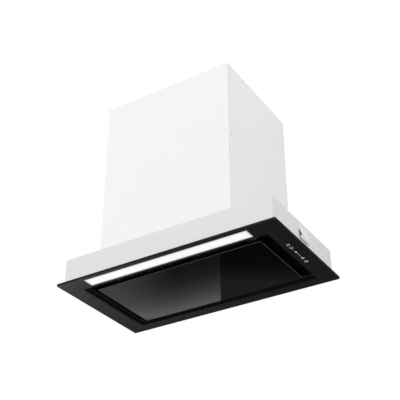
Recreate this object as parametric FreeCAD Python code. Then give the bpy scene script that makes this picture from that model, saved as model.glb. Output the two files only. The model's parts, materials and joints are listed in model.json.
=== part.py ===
import FreeCAD
import Part
import math
import os

# Built-in range hood: a black fascia with a perimeter suction panel, a light strip and touch keys, under a
# pale steel casing that holds the blower. Millimetres. X runs to the right, Y to the back and Z up. The
# origin is the centre of the cabinet cut-out, in the plane of the cabinet's underside that the flange seats
# against.

V = FreeCAD.Vector
ALONG_X = V(1, 0, 0)
ALONG_Y = V(0, 1, 0)
ALONG_Z = V(0, 0, 1)

# Clearances
SLIP = 0.2              # between pieces that slip into each other and stay there
FIT = 0.3               # between pieces that must not touch
RUNNING = 0.05          # radial, between a pin or shaft and its bore
OVER = 2.0              # how far a cutting tool runs past the face that it cuts

# Fascia, a folded black steel pan
FASCIA_WIDTH = 520.0
FASCIA_DEPTH = 285.0
FASCIA_HEIGHT = 5.0
FASCIA_SHEET = 1.2
FASCIA_CORNER = 2.0
FASCIA_EDGE_ROUND = 0.8
MARGIN_SIDE = 39.5      # fascia edge to the suction opening
MARGIN_FRONT = 43.3
MARGIN_BACK = 26.7
OPENING_CORNER = 2.5
OPENING_RETURN = 13.0   # height of the rim folded up round the opening
FASCIA_SCREW_END = 16.0 # opening's front and back to the fascia's screws
FASCIA_SCREW_DROP = 4.0 # rim's top to the fascia's screws

# Suction panel, black glass bonded to a steel carrier
SLOT_SIDE = 24.0        # air slot between the panel and the opening
SLOT_FRONT = 16.5
GLASS = 4.0
GLASS_CORNER = 1.5
GLASS_CHAMFER = 0.5
CARRIER_SHEET = 0.8
CARRIER_HEIGHT = 7.0
CARRIER_INSET = 6.0
CARRIER_CORNER = 4.0
BEAD_WIDTH = 12.0       # stiffening beads pressed in the carrier
BEAD_HEIGHT = 2.0
BEAD_END = 46.0         # carrier edge to the end of a bead
BEAD_ROUND = 5.8        # round ends of a bead
BEAD_SLOPE = 1.6
BEAD_SPREAD = 85.0      # between the outer beads

# Panel hinge and magnetic catches
HINGE_INSET = 24.0      # panel side to hinge ear
HINGE_BACK = 8.0        # panel back edge to hinge axis
HINGE_RISE = 19.0       # visible face to hinge axis
HINGE_PIN_RADIUS = 2.5
HINGE_PIN_HEAD = 4.0
EAR_SHEET = 2.0
EAR_RADIUS = 6.0
EAR_FOOT = 26.0
EAR_BEND = 1.5
HINGE_ARM_FOOT = 14.0
HINGE_BRACKET_FOOT = 18.0
HINGE_PIN_HEAD_SHEET = 1.5
HINGE_PIN_TAIL = 1.0    # bracket to the pin's free end
CATCH_INSET = 80.0      # panel side to catch
CATCH_SIZE = 22.0
CATCH_DEPTH = 13.0
CATCH_MAGNET = 4.0
CATCH_SHEET = 1.5
CATCH_FOOT = 12.0
CATCH_BEND = 1.5
CATCH_ARM_WIDTH = 16.0
STRIKER_FOOT = 8.0
STRIKER_BEND = 0.8

# Light strip
LIGHT_END = 66.0        # fascia side to the end of the strip
LIGHT_WIDTH = 28.0
LIGHT_MARGIN = 8.5      # fascia front to the strip
LIGHT_CORNER = 0.8
DIFFUSER_LIP = 3.0
DIFFUSER_FLANGE = 1.8
CHANNEL_HEIGHT = 12.0
CHANNEL_WALL = 1.2
CHANNEL_FIN = 3.0
CHANNEL_FINS = 3
LED_BOARD_WIDTH = 12.0
LED_BOARD = 1.0
LED_PITCH = 16.0
LED_SIZE = 3.0
LED_HEIGHT = 0.8
LED_BOARD_END = 3.0     # light strip's end to the lamp board
LED_END = 10.0          # light strip's end to the row of lamps

# Touch keys
TOUCH_LENGTH = 108.0
TOUCH_WIDTH = 16.0
TOUCH_CORNER = 0.8
TOUCH_EDGE = 17.0       # fascia side to the touch window
TOUCH_LIP = 1.6
TOUCH_FLANGE = 1.2
TOUCH_BOARD = 1.6
TOUCH_COVER_HEIGHT = 9.0
TOUCH_COVER_WALL = 1.4

# Lower casing
FLANGE_OVERLAP = 11.0   # fascia edge to the casing wall
BODY_HEIGHT = 58.0
BODY_SHEET = 1.0
BODY_CORNER = 3.0
BODY_LIP = 14.0
SEAT_SHEET = 1.0        # flat flange frame welded round the walls' foot
FIXING_HOLE_RADIUS = 2.2
FIXING_EDGE = 42.0      # casing's front and back to the fixing holes
DECK_SCREW_END = 20.0   # casing's front and back to the deck's screws

# Suction tray inside the casing
TRAY_SHEET = 1.0
TRAY_CEILING = 31.0     # seat plane to the underside of the ceiling
TRAY_LIP_ROOM = 0.6     # tray's lip to the rivets over it

# Grease filter and its latch
FILTER_SIDE = 55.0      # opening side to the filter
FILTER_FRONT = 18.0
FILTER_GAP = 1.0
FILTER_THICKNESS = 10.0
FILTER_DROP = 8.0       # how far the cassette hangs below the tray's ceiling
FILTER_RAIL = 14.0
FILTER_CORNER = 2.0
FILTER_LIP = 1.2
FILTER_GROOVE = 10.0
FILTER_GROOVE_CORNER = 1.0
FILTER_TAB_WIDTH = 30.0
FILTER_TAB = 6.0
FILTER_TAB_ROOT = 4.0   # how far a tab reaches in over the frame
FILTER_TAB_SHEET = 1.0
FILTER_TAB_SPREAD = 160.0
MESH_COLUMNS = 22
MESH_ROWS = 10
MESH_WEB = 3.0
LATCH_WIDTH = 36.0
LATCH_LENGTH = 22.0
LATCH_THICKNESS = 2.4
LATCH_TIP = 6.0
LATCH_TIP_WIDTH = 24.0
LATCH_BEVEL = 1.4       # slope that rides past the keeper
LATCH_TRAVEL = 7.0
LATCH_TAB_WIDTH = 16.0
LATCH_TAB = 9.0
LATCH_TAB_SHEET = 3.0
LATCH_TAB_CORNER = 4.0
GUIDE_WALL = 4.0
GUIDE_FLOOR = 1.5
GUIDE_CORNER = 2.0
GUIDE_START = 2.0       # filter's front to the guide
GUIDE_END_ROOM = 2.0
GUIDE_SILL = 4.0        # guide's front to the window for the tab
GUIDE_WINDOW_ROOM = 3.0
KEEPER_SHEET = 1.5
KEEPER_WIDTH = 34.0
KEEPER_LEDGE = 9.0
KEEPER_FOOT = 4.0
KEEPER_BEND = 1.0
SPRING_STRIP = 0.5
SPRING_WAVES = 4
SPRING_END = 4.0        # bolt's side to the spring
SPRING_EDGE = 0.2       # spring's edge to the bolt's level

# Upper casing
HOUSING_WIDTH = 316.0
HOUSING_SETBACK = 1.5   # lower casing's front to the upper casing's front
HOUSING_HEIGHT = 370.0
HOUSING_SHEET = 0.8
HOUSING_CORNER = 3.0
HOUSING_FOOT = 12.0
HOUSING_LIP = 16.0
HOUSING_SEAM = 0.3
FOOT_SCREW_END = 30.0   # upper casing's front and back to the foot screws
COVER_SCREW_END = 40.0  # upper casing's top and bottom to the cover screws
LID_SCREW_SPREAD = 130.0
DECK_SHEET = 1.0
DECK_RIM = 14.0         # upper casing wall to the deck's air opening
DECK_MOUTH_CORNER = 6.0

# Blower
SCROLL_CLEARANCE = 7.0  # upper casing to the scroll
SCROLL_WALL = 2.0
SCROLL_GROWTH = 34.0
SCROLL_WIDTH = 120.0
SCROLL_TONGUE = 72.0    # degrees from the back, where the spiral starts
SCROLL_FLOOR = 30.0     # deck to the bottom of the scroll
SCROLL_OUTLET_RISE = 110.0
SCROLL_RIM = 8.0
SCROLL_RIM_HALF = 3.0
RIM_SCREWS = 5
RIM_FIRST = 115.0       # degrees from the back, of the first and last rim screws
RIM_LAST = 305.0
RIBS = 9
RIB_FIRST = 100.0       # degrees from the back, of the first and last ribs
RIB_LAST = 340.0
RIB_SHEET = 2.0
RIB_HEIGHT = 3.0
RIB_GAP = 2.0           # motor's bushes to the ribs
INLET_STEP = 16.8       # fan's rim to the edge of the inlet
INLET_LIP = 6.0
INLET_LIP_WALL = 2.5
INLET_ROUND = 2.0       # bell mouth of the inlet
TONGUE_GAP = 8.0        # fan to the scroll at the tongue
FAN_SIDE_GAP = 7.0
FAN_BLADES = 32
FAN_BLADE = 1.2
FAN_BLADE_CHORD = 16.0
FAN_BLADE_BOW = 2.6
FAN_BLADE_TIP = 0.5     # fan's rim to the blades' tips
FAN_RING = 7.0
FAN_RING_SHEET = 3.0
FAN_DISC = 3.0
FAN_DISC_EDGE = 2.0     # fan's rim to the disc
HUB_RADIUS = 13.0
HUB_LENGTH = 24.0
HUB_CONE = 10.0
HUB_FLARE = 16.0        # hub to the foot of its cone
SHAFT_RADIUS = 4.0
SHAFT_FRONT = 30.0      # fan's middle to the shaft's free end
SHAFT_BACK = 3.0        # motor to the shaft's other end
NUT_WIDTH = 13.0
NUT_HEIGHT = 5.0
MOTOR_RADIUS = 40.0
MOTOR_START = 9.0       # fan's middle to the motor's front cap
MOTOR_WALL = 2.0
MOTOR_CAP = 5.0
MOTOR_STEP = 3.0        # the caps stand in from the case by this
MOTOR_EDGE = 1.2        # bevel of the case and the caps
VENTS = 8
VENT_RADIUS = 4.0
VENT_CIRCLE = 24.0
STATOR_WALL = 12.0
STATOR_END = 6.0        # motor's caps to the stator
ROTOR_GAP = 0.6
BEARING_RADIUS = 9.0
BRACKET_SHEET = 2.0
BRACKET_ARM = 16.0
BRACKET_ARMS = 3
BRACKET_ARM_ROOT = 10.0
BRACKET_ARM_LAP = 2.0
BRACKET_PAD = 2.0       # motor cap's edge to the pad on it
BRACKET_BORE = 2.0      # bearing to the pad's hole
BUSH_RADIUS = 6.0
BUSH_GAP = 1.0          # inlet lip to the bushes
RAIL_WIDTH = 26.0
RAIL_SHEET = 1.5
RAIL_BEND = 1.5
RAIL_RISE = 12.0        # deck to the top of the support rails
RAIL_SPREAD = 112.0
RAIL_TAB = 22.0
FOOT_LENGTH = 26.0
FOOT_DEPTH = 14.0
CAPACITOR_RADIUS = 15.0
CAPACITOR_LENGTH = 52.0
CAPACITOR_GAP = 10.0    # inlet lip to the capacitor
SADDLE_END = 10.0       # capacitor's end to its saddle
SADDLE_WIDTH = 20.0
SADDLE_RISE = 10.5
TAG_LENGTH = 8.0        # push-on tags of the capacitor
TAG_WIDTH = 6.3
TAG_SHEET = 0.8
TAG_SPREAD = 12.0

# Outlet collar, its clamp ring and its non-return flaps
COLLAR_RADIUS = 75.0
COLLAR_WALL = 2.0
COLLAR_HEIGHT = 28.0    # over the clamp ring
COLLAR_NECK = 1.0       # step out below the duct's stop
COLLAR_FOOT = 4.0       # collar's outside to the edge of its foot
COLLAR_FOOT_SHEET = 1.5
COLLAR_STOP = 4.0       # ledge inside the collar that the flaps lie on
COLLAR_BACK = 5.0       # upper casing's back to the clamp ring
RING_WIDTH = 14.0       # collar's outside to the clamp ring's edge
RING_SHEET = 1.5
DUCT_WALL = 1.5
DUCT_FLATS = 6          # flats in each corner of the duct
SPINDLE_RADIUS = 2.0
SPINDLE_BOSS = 7.0
SPINDLE_BOSS_WALL = 2.0
SPINDLE_END = 1.0       # collar's bore to the spindle's end
KNUCKLE_RADIUS = 4.0
KNUCKLE_LENGTH = 17.0
KNUCKLE_GAP = 1.0
FLAP = 1.5
FLAP_GAP = 1.8
FLAP_RIB = 1.2
FLAP_RIB_SHEET = 2.0
FLAP_RIB_START = 12.0   # spindle to the ribs
FLAP_RIB_END = 20.0     # ribs to the flap's rim

# Electrics
CONTROL_LENGTH = 120.0
CONTROL_WIDTH = 62.0
CONTROL_ROOM = 5.0      # control box's lid to the deck
CONTROL_WALL = 2.0
CONTROL_CORNER = 4.0
CONTROL_GAP = 6.0       # filter opening to the control box
LID_PLUG = 1.5          # rib under the lid that enters the control box
LID_VENTS = 6
LID_VENT_WIDTH = 2.0
LID_VENT_LENGTH = 26.0
LID_VENT_SPREAD = 60.0
POWER_BOARD = 1.6
POWER_BOARD_END = 4.0   # control box to the board
TRANSFORMER_SIZE = 22.0
TRANSFORMER_ROOM = 0.8  # transformer to the lid
RELAY_LENGTH = 18.0
RELAY_WIDTH = 10.0
RELAY_ROOM = 1.6
RELAY_PITCH = 14.0
TERMINAL_WIDTH = 12.0
TERMINAL_ROOM = 2.4
PART_EDGE = 6.0         # board's edge to the parts on it
DRIVER_LENGTH = 110.0
DRIVER_WIDTH = 38.0
DRIVER_ROOM = 5.0       # lamp supply to the deck
DRIVER_EAR = 9.0
DRIVER_EAR_WIDTH = 16.0
DRIVER_EAR_SHEET = 2.5
DRIVER_EAR_CORNER = 6.0
DRIVER_CORNER = 4.0
DRIVER_EDGE = 2.0
GLAND_BORE = 4.0
GLAND_RADIUS = 8.0
GLAND_FLANGE = 12.0
GLAND_FLANGE_SHEET = 2.5
GLAND_HEIGHT = 14.0
GLAND_NUT = 2.5
GLAND_NUT_STEP = 1.0    # flange's edge to the nut's
GLAND_BACK = 60.0       # behind the middle
GLAND_GAP = 2.0         # casing's lip to the gland

# Spring clips that hold the hood in the cut-out
CLIP_WIDTH = 40.0
CLIP_SHEET = 0.8
CLIP_BELOW = 5.0        # deck to the clip's top
CLIP_LEG = 12.0         # flat leg riveted to the casing
CLIP_REACH = 7.0
CLIP_KNEE_RISE = 7.0    # cabinet board to the clip's knee
CLIP_TIP_RISE = 1.0     # cabinet board to the clip's tip
CLIP_TIP_GAP = 2.5      # casing to the clip's tip
CLIP_ROUND = 2.0
BOARD = 18.0            # cabinet board that the clips close on
RIVET_RADIUS = 1.6
RIVET_HEAD = 3.2
RIVET_TAIL = 2.5
RIVET_HEAD_SHEET = 1.0
RIVET_TAIL_SHEET = 0.8
RIVET_SPREAD = 24.0

# Screws
SCREW_RADIUS = 1.75
SCREW_HOLE = 1.9
SCREW_HEAD = 3.4
SCREW_HEAD_HEIGHT = 1.8
SCREW_LENGTH = 6.0

# Levels
FACE_Z = -FASCIA_HEIGHT
PLATE_Z = FACE_Z + FASCIA_SHEET
RETURN_Z = FACE_Z + OPENING_RETURN
CEILING_Z = TRAY_CEILING + TRAY_SHEET
DECK_Z = BODY_HEIGHT - DECK_SHEET
CLIP_TOP = DECK_Z - CLIP_BELOW
CLIP_BEND = CLIP_TOP - CLIP_LEG
RIVET_Z = (CLIP_TOP + CLIP_BEND) / 2
TRAY_LIP_Z = RIVET_Z - RIVET_TAIL - TRAY_LIP_ROOM
CONTROL_LID_Z = DECK_Z - CONTROL_ROOM
DRIVER_Z = DECK_Z - DRIVER_ROOM
TOP_Z = BODY_HEIGHT + HOUSING_HEIGHT
TOP_PLATE_Z = TOP_Z - HOUSING_SHEET
PANEL_BACK_Z = FACE_Z + GLASS
CARRIER_PLATE_Z = PANEL_BACK_Z + CARRIER_SHEET
CARRIER_Z = PANEL_BACK_Z + CARRIER_HEIGHT
HINGE_Z = FACE_Z + HINGE_RISE
FILTER_Z = TRAY_CEILING - FILTER_DROP
LIGHT_Z = PLATE_Z + DIFFUSER_FLANGE
TOUCH_Z = PLATE_Z + TOUCH_FLANGE
RAIL_Z = BODY_HEIGHT + RAIL_RISE
COLLAR_SEAT_Z = TOP_Z + COLLAR_FOOT_SHEET + RING_SHEET
SPINDLE_Z = COLLAR_SEAT_Z + FIT + FLAP / 2

# Plan sizes
OPENING_WIDTH = FASCIA_WIDTH - 2 * MARGIN_SIDE
OPENING_DEPTH = FASCIA_DEPTH - MARGIN_FRONT - MARGIN_BACK
OPENING_Y = (MARGIN_FRONT - MARGIN_BACK) / 2
OPENING_FRONT = OPENING_Y - OPENING_DEPTH / 2
OPENING_BACK = OPENING_Y + OPENING_DEPTH / 2
PANEL_WIDTH = OPENING_WIDTH - 2 * SLOT_SIDE
PANEL_DEPTH = OPENING_DEPTH - 2 * SLOT_FRONT
PANEL_FRONT = OPENING_FRONT + SLOT_FRONT
HINGE_Y = OPENING_BACK - SLOT_FRONT - HINGE_BACK
HINGE_X = PANEL_WIDTH / 2 - HINGE_INSET
CATCH_X = PANEL_WIDTH / 2 - CATCH_INSET
CATCH_Y = PANEL_FRONT + CARRIER_INSET + CARRIER_SHEET + FIT
LIGHT_LENGTH = FASCIA_WIDTH - 2 * LIGHT_END
LIGHT_Y = -FASCIA_DEPTH / 2 + LIGHT_MARGIN + LIGHT_WIDTH / 2
TOUCH_X = FASCIA_WIDTH / 2 - TOUCH_EDGE - TOUCH_WIDTH / 2
TOUCH_BACK_WIDTH = TOUCH_WIDTH + 2 * TOUCH_LIP
TOUCH_BACK_LENGTH = TOUCH_LENGTH + 2 * TOUCH_LIP
TOUCH_BACK_CORNER = TOUCH_CORNER + TOUCH_LIP
BODY_WIDTH = FASCIA_WIDTH - 2 * FLANGE_OVERLAP
BODY_DEPTH = FASCIA_DEPTH - 2 * FLANGE_OVERLAP
BODY_INNER_X = BODY_WIDTH / 2 - BODY_SHEET
BODY_INNER_Y = BODY_DEPTH / 2 - BODY_SHEET
FIXING_X = BODY_WIDTH / 2 + FLANGE_OVERLAP / 2 - FASCIA_SHEET / 2
FIXING_Y = BODY_DEPTH / 2 - FIXING_EDGE
TRAY_WALL_GAP = FASCIA_SHEET + SLIP
FILTER_WIDTH = OPENING_WIDTH - 2 * FILTER_SIDE
FILTER_DEPTH = OPENING_DEPTH - 2 * FILTER_FRONT
FILTER_Y = OPENING_Y
FILTER_FRONT_Y = FILTER_Y - FILTER_DEPTH / 2
HOUSING_DEPTH = BODY_DEPTH - 2 * HOUSING_SETBACK
HOUSING_INNER_X = HOUSING_WIDTH / 2 - HOUSING_SHEET
HOUSING_INNER_Y = HOUSING_DEPTH / 2 - HOUSING_SHEET

# Blower places, which follow from the upper casing
TONGUE = math.radians(SCROLL_TONGUE)
TURN = 2 * math.pi - TONGUE


def growth_at(angle):
    """How far the scroll has opened out at an angle from the back, turning up and over to the front."""
    return SCROLL_GROWTH * (angle - TONGUE) / TURN


SCROLL_ROOM = 2 * HOUSING_INNER_Y - 2 * SCROLL_CLEARANCE
SCROLL_START = (SCROLL_ROOM - growth_at(math.pi) - SCROLL_GROWTH) / 2
FAN_RADIUS = SCROLL_START - SCROLL_WALL - TONGUE_GAP
FAN_WIDTH = SCROLL_WIDTH - 2 * SCROLL_WALL - 2 * FAN_SIDE_GAP
FAN_Y = -HOUSING_INNER_Y + SCROLL_CLEARANCE + SCROLL_START + growth_at(math.pi)
FAN_Z = BODY_HEIGHT + SCROLL_FLOOR + SCROLL_START + growth_at(1.5 * math.pi)
SCROLL_TOP = FAN_Z + SCROLL_OUTLET_RISE
SCROLL_BACK = FAN_Y + SCROLL_START + SCROLL_GROWTH
TONGUE_Y = FAN_Y + SCROLL_START * math.cos(TONGUE)
INLET_RADIUS = FAN_RADIUS - INLET_STEP
MOTOR_END = SCROLL_WIDTH / 2 + INLET_LIP
BUSH_CIRCLE = INLET_RADIUS + INLET_LIP_WALL + BUSH_RADIUS + BUSH_GAP
COLLAR_BORE = COLLAR_RADIUS - COLLAR_WALL
COLLAR_Y = HOUSING_DEPTH / 2 - COLLAR_BACK - COLLAR_RADIUS - RING_WIDTH
COLLAR_NECK_RADIUS = COLLAR_RADIUS + COLLAR_NECK
COLLAR_FOOT_RADIUS = COLLAR_RADIUS + COLLAR_FOOT
RING_STEP_RADIUS = COLLAR_FOOT_RADIUS + FIT + RING_SHEET
RING_RADIUS = COLLAR_RADIUS + RING_WIDTH


# Shapes

def block(x, y, z):
    """A box between two values on each axis."""
    return Part.makeBox(x[1] - x[0], y[1] - y[0], z[1] - z[0], V(x[0], y[0], z[0]))


def span(middle, length):
    """The two ends of a length about its middle."""
    return (middle - length / 2, middle + length / 2)


def rounded_face(width, depth, corner, x, y, z):
    """A rectangle with round corners, flat at a height."""
    if corner <= 0:
        return Part.Face(Part.makePlane(width, depth, V(x - width / 2, y - depth / 2, z)).OuterWire)

    def on_corner(sx, sy, degrees):
        angle = math.radians(degrees)
        return V(x + sx * (width / 2 - corner) + corner * math.cos(angle),
                 y + sy * (depth / 2 - corner) + corner * math.sin(angle), z)
    arcs = []
    for step, (sx, sy) in enumerate([(1, 1), (-1, 1), (-1, -1), (1, -1)]):
        arcs.append([on_corner(sx, sy, 90 * step + turn) for turn in (0, 45, 90)])
    edges = []
    for step, (first, middle, last) in enumerate(arcs):
        edges.append(Part.Arc(first, middle, last).toShape())
        edges.append(Part.LineSegment(last, arcs[(step + 1) % 4][0]).toShape())
    return Part.Face(Part.Wire(edges))


def slab(width, depth, z, corner=0.0, x=0.0, y=0.0):
    """An upright prism on a rectangle with round corners, between two heights."""
    return rounded_face(width, depth, corner, x, y, z[0]).extrude(V(0, 0, z[1] - z[0]))


def rod(radius, start, along, length):
    return Part.makeCylinder(radius, length, V(*start), along)


def tube(outer, inner, start, along, length):
    return rod(outer, start, along, length).cut(rod(inner, start, along, length))


def turned(profile, y):
    """A ring: (radius, z) points turned about an upright axis at (0, y)."""
    outline = [V(radius, y, z) for radius, z in profile]
    face = Part.Face(Part.makePolygon(outline + outline[:1]))
    return face.revolve(V(0, y, 0), ALONG_Z, 360)


def hexagon(width, height):
    """A six-sided prism on the origin, measured across its flats."""
    radius = width / math.sqrt(3)
    angles = [math.radians(60 * i) for i in range(6)]
    corners = [V(radius * math.cos(a), radius * math.sin(a), 0) for a in angles]
    return Part.Face(Part.makePolygon(corners + corners[:1])).extrude(V(0, 0, height))


def joined(shapes):
    """One solid from shapes that meet."""
    return shapes[0].multiFuse(shapes[1:]).removeSplitter()


def group(shapes):
    """Separate solids that share a node."""
    return Part.makeCompound(shapes)


def mirrored(shape):
    """The same shape on the other side of the middle."""
    return shape.mirror(V(0, 0, 0), ALONG_X)


def spun(profile):
    """A piece turned on the fan's axis, from (x, radius) points."""
    outline = [V(x, FAN_Y, FAN_Z + radius) for x, radius in profile]
    face = Part.Face(Part.makePolygon(outline + outline[:1]))
    return face.revolve(V(0, FAN_Y, FAN_Z), ALONG_X, 360)


def folded_outline(points, sheet, bend):
    """The lines and arcs round a folded strip. The sheet lies on the left of a route of (u, v) points, and
    each fold has the bend's radius inside."""
    route = [V(u, v, 0) for u, v in points]
    ways = [(b - a).normalize() for a, b in zip(route, route[1:])]
    lefts = [V(-way.y, way.x, 0) for way in ways]

    def side(shift):
        pieces = []
        last = route[0] + lefts[0] * shift
        for i, corner in enumerate(route[1:-1]):
            turn = math.atan2(ways[i].cross(ways[i + 1]).z, ways[i].dot(ways[i + 1]))
            radius = bend if (turn > 0) == (shift > 0) else bend + sheet
            vertex = corner + (lefts[i] - ways[i] * math.tan(turn / 2)) * shift
            reach = radius * math.tan(abs(turn) / 2)
            first = vertex - ways[i] * reach
            final = vertex + ways[i + 1] * reach
            centre = first + lefts[i] * math.copysign(radius, turn)
            middle = centre + (vertex - centre).normalize() * radius
            pieces += [(last, first), (first, middle, final)]
            last = final
        return pieces + [(last, route[-1] + lefts[-1] * shift)]
    right = side(0)
    left = [piece[::-1] for piece in side(sheet)[::-1]]
    return right + [(right[-1][-1], left[0][0])] + left + [(left[-1][-1], right[0][0])]


def folded(outline, place, along):
    """A folded strip drawn out along a direction, from an outline that a function of (u, v) places."""
    edges = []
    for piece in outline:
        points = [place(point.x, point.y) for point in piece]
        curve = Part.Arc(*points) if len(points) == 3 else Part.LineSegment(*points)
        edges.append(curve.toShape())
    return Part.Face(Part.Wire(edges)).extrude(along)


def folded_along_x(points, sheet, bend, x):
    """A folded strip from a route of (y, z) points, drawn out along X."""
    return folded(folded_outline(points, sheet, bend), lambda u, v: V(x[0], u, v), V(x[1] - x[0], 0, 0))


def folded_along_y(points, sheet, bend, y):
    """A folded strip from a route of (x, z) points, drawn out along Y."""
    return folded(folded_outline(points, sheet, bend), lambda u, v: V(u, y[0], v), V(0, y[1] - y[0], 0))


def edges_at(shape, z):
    """The edges that lie flat at a height."""
    return [e for e in shape.Edges if abs(e.BoundBox.ZMin - z) < 1e-4 and abs(e.BoundBox.ZMax - z) < 1e-4]


def screw(point, along, length=SCREW_LENGTH):
    """A screw whose head seats at a point and whose shank runs along a direction."""
    head = rod(SCREW_HEAD, point, along * -1, SCREW_HEAD_HEIGHT)
    shank = rod(SCREW_RADIUS, point, along, length)
    return head.fuse(shank).removeSplitter()


def drilled(shape, places, radius, reach=SCREW_LENGTH):
    """A shape with a round hole at each (point, direction), open for a reach on both sides of the point."""
    tools = []
    for point, along in places:
        start = V(*point) - along * reach
        tools.append(Part.makeCylinder(radius, 2 * reach, start, along))
    return shape.cut(tools)


# Places of the screws

def even(count, first, last):
    return [first + (last - first) * i / (count - 1) for i in range(count)]


def fascia_screw_places():
    """Inside the opening, through its rim and into the tray's side walls."""
    places = []
    for side in (-1, 1):
        for y in (OPENING_FRONT + FASCIA_SCREW_END, OPENING_BACK - FASCIA_SCREW_END):
            point = (side * OPENING_WIDTH / 2, y, RETURN_Z - FASCIA_SCREW_DROP)
            places.append((point, ALONG_X * side))
    return places


def deck_screw_places():
    """Round the deck's edge, down into the lower casing's lips."""
    inset = BODY_LIP / 2
    reach = BODY_DEPTH / 2 - DECK_SCREW_END
    places = []
    for side in (-1, 1):
        for y in even(3, -reach, reach):
            places.append(((side * (BODY_WIDTH / 2 - inset), y, BODY_HEIGHT), ALONG_Z * -1))
    return places


def foot_screw_places():
    """Along the upper casing's side feet, down into the deck."""
    reach = HOUSING_DEPTH / 2 - FOOT_SCREW_END
    places = []
    for side in (-1, 1):
        for y in even(3, -reach, reach):
            x = side * (HOUSING_WIDTH / 2 + HOUSING_FOOT / 2)
            places.append(((x, y, BODY_HEIGHT + HOUSING_SHEET), ALONG_Z * -1))
    return places


def cover_screw_places():
    """Through the upper casing's sides, into the lips of the front cover."""
    y = -HOUSING_DEPTH / 2 + HOUSING_LIP / 2
    places = []
    for side in (-1, 1):
        for z in even(3, BODY_HEIGHT + COVER_SCREW_END, TOP_Z - COVER_SCREW_END):
            places.append(((side * HOUSING_WIDTH / 2, y, z), ALONG_X * -side))
    return places


def lid_screw_places():
    """Through the upper casing's sides, into the lips of the top plate."""
    places = []
    for side in (-1, 1):
        for y in span(0, LID_SCREW_SPREAD):
            point = (side * HOUSING_WIDTH / 2, y, TOP_Z - HOUSING_LIP / 2)
            places.append((point, ALONG_X * -side))
    return places


def collar_screw_places():
    """Round the clamp ring, down into the top plate."""
    circle = (RING_STEP_RADIUS + RING_RADIUS) / 2
    places = []
    for quarter in range(4):
        angle = math.radians(45 + 90 * quarter)
        x = circle * math.cos(angle)
        y = COLLAR_Y + circle * math.sin(angle)
        places.append(((x, y, TOP_Z + RING_SHEET), ALONG_Z * -1))
    return places


def rim_screw_places():
    """Round the scroll's split rim, from the right half into the left."""
    places = []
    for degrees in even(RIM_SCREWS, RIM_FIRST, RIM_LAST):
        angle = math.radians(degrees)
        radius = SCROLL_START + growth_at(angle) + SCROLL_RIM / 2
        y = FAN_Y + radius * math.cos(angle)
        z = FAN_Z + radius * math.sin(angle)
        places.append(((SCROLL_RIM_HALF, y, z), ALONG_X * -1))
    return places


def motor_screw_places():
    """Through the motor bracket's ring and its rubber bushes, into the scroll."""
    places = []
    for arm in range(BRACKET_ARMS):
        angle = math.radians(90 + 360 / BRACKET_ARMS * arm)
        y = FAN_Y + BUSH_CIRCLE * math.cos(angle)
        z = FAN_Z + BUSH_CIRCLE * math.sin(angle)
        places.append(((MOTOR_END + BRACKET_SHEET, y, z), ALONG_X * -1))
    return places


# Fascia and what sits in it

def fascia_frame():
    """A folded pan with a rim up round the suction opening, cut out for the light strip and the keys."""
    pan = slab(FASCIA_WIDTH, FASCIA_DEPTH, (FACE_Z, 0), FASCIA_CORNER)
    pan = pan.makeFillet(min(FASCIA_EDGE_ROUND, FASCIA_SHEET * 0.8), edges_at(pan, FACE_Z))
    inside = slab(FASCIA_WIDTH - 2 * FASCIA_SHEET, FASCIA_DEPTH - 2 * FASCIA_SHEET, (PLATE_Z, OVER),
                  max(FASCIA_CORNER - FASCIA_SHEET, 0))
    rim = slab(OPENING_WIDTH + 2 * FASCIA_SHEET, OPENING_DEPTH + 2 * FASCIA_SHEET, (FACE_Z, RETURN_Z),
               OPENING_CORNER + FASCIA_SHEET, 0, OPENING_Y)
    opening = slab(OPENING_WIDTH, OPENING_DEPTH, (FACE_Z - OVER, RETURN_Z + OVER), OPENING_CORNER, 0,
                   OPENING_Y)
    frame = pan.cut(inside).fuse(rim).cut(opening).removeSplitter()
    mouth = [e for e in edges_at(frame, FACE_Z) if abs(e.CenterOfMass.x) <= OPENING_WIDTH / 2 + FIT
             and OPENING_FRONT - FIT <= e.CenterOfMass.y <= OPENING_BACK + FIT]
    frame = frame.makeFillet(min(FASCIA_EDGE_ROUND, FASCIA_SHEET * 0.8), mouth)
    through = (FACE_Z - OVER, PLATE_Z + OVER)
    light_slot = slab(LIGHT_LENGTH + 2 * SLIP, LIGHT_WIDTH + 2 * SLIP, through, LIGHT_CORNER + SLIP, 0,
                      LIGHT_Y)
    touch_slot = slab(TOUCH_WIDTH + 2 * SLIP, TOUCH_LENGTH + 2 * SLIP, through, TOUCH_CORNER + SLIP, TOUCH_X)
    return drilled(frame.cut([light_slot, touch_slot]), fascia_screw_places(), SCREW_HOLE)


def light_diffuser():
    """An opal strip flush with the fascia, with a lip that hangs on the plate's back."""
    strip = slab(LIGHT_LENGTH, LIGHT_WIDTH, (FACE_Z, PLATE_Z), LIGHT_CORNER, 0, LIGHT_Y)
    lip = slab(LIGHT_LENGTH + 2 * DIFFUSER_LIP, LIGHT_WIDTH + 2 * DIFFUSER_LIP, (PLATE_Z, LIGHT_Z),
               LIGHT_CORNER + DIFFUSER_LIP, 0, LIGHT_Y)
    return joined([strip, lip])


def channel_span():
    """Front and back of the light channel, between the casing's wall and the strip's back edge."""
    return (-BODY_INNER_Y + 2 * FIT, LIGHT_Y + LIGHT_WIDTH / 2)


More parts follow.
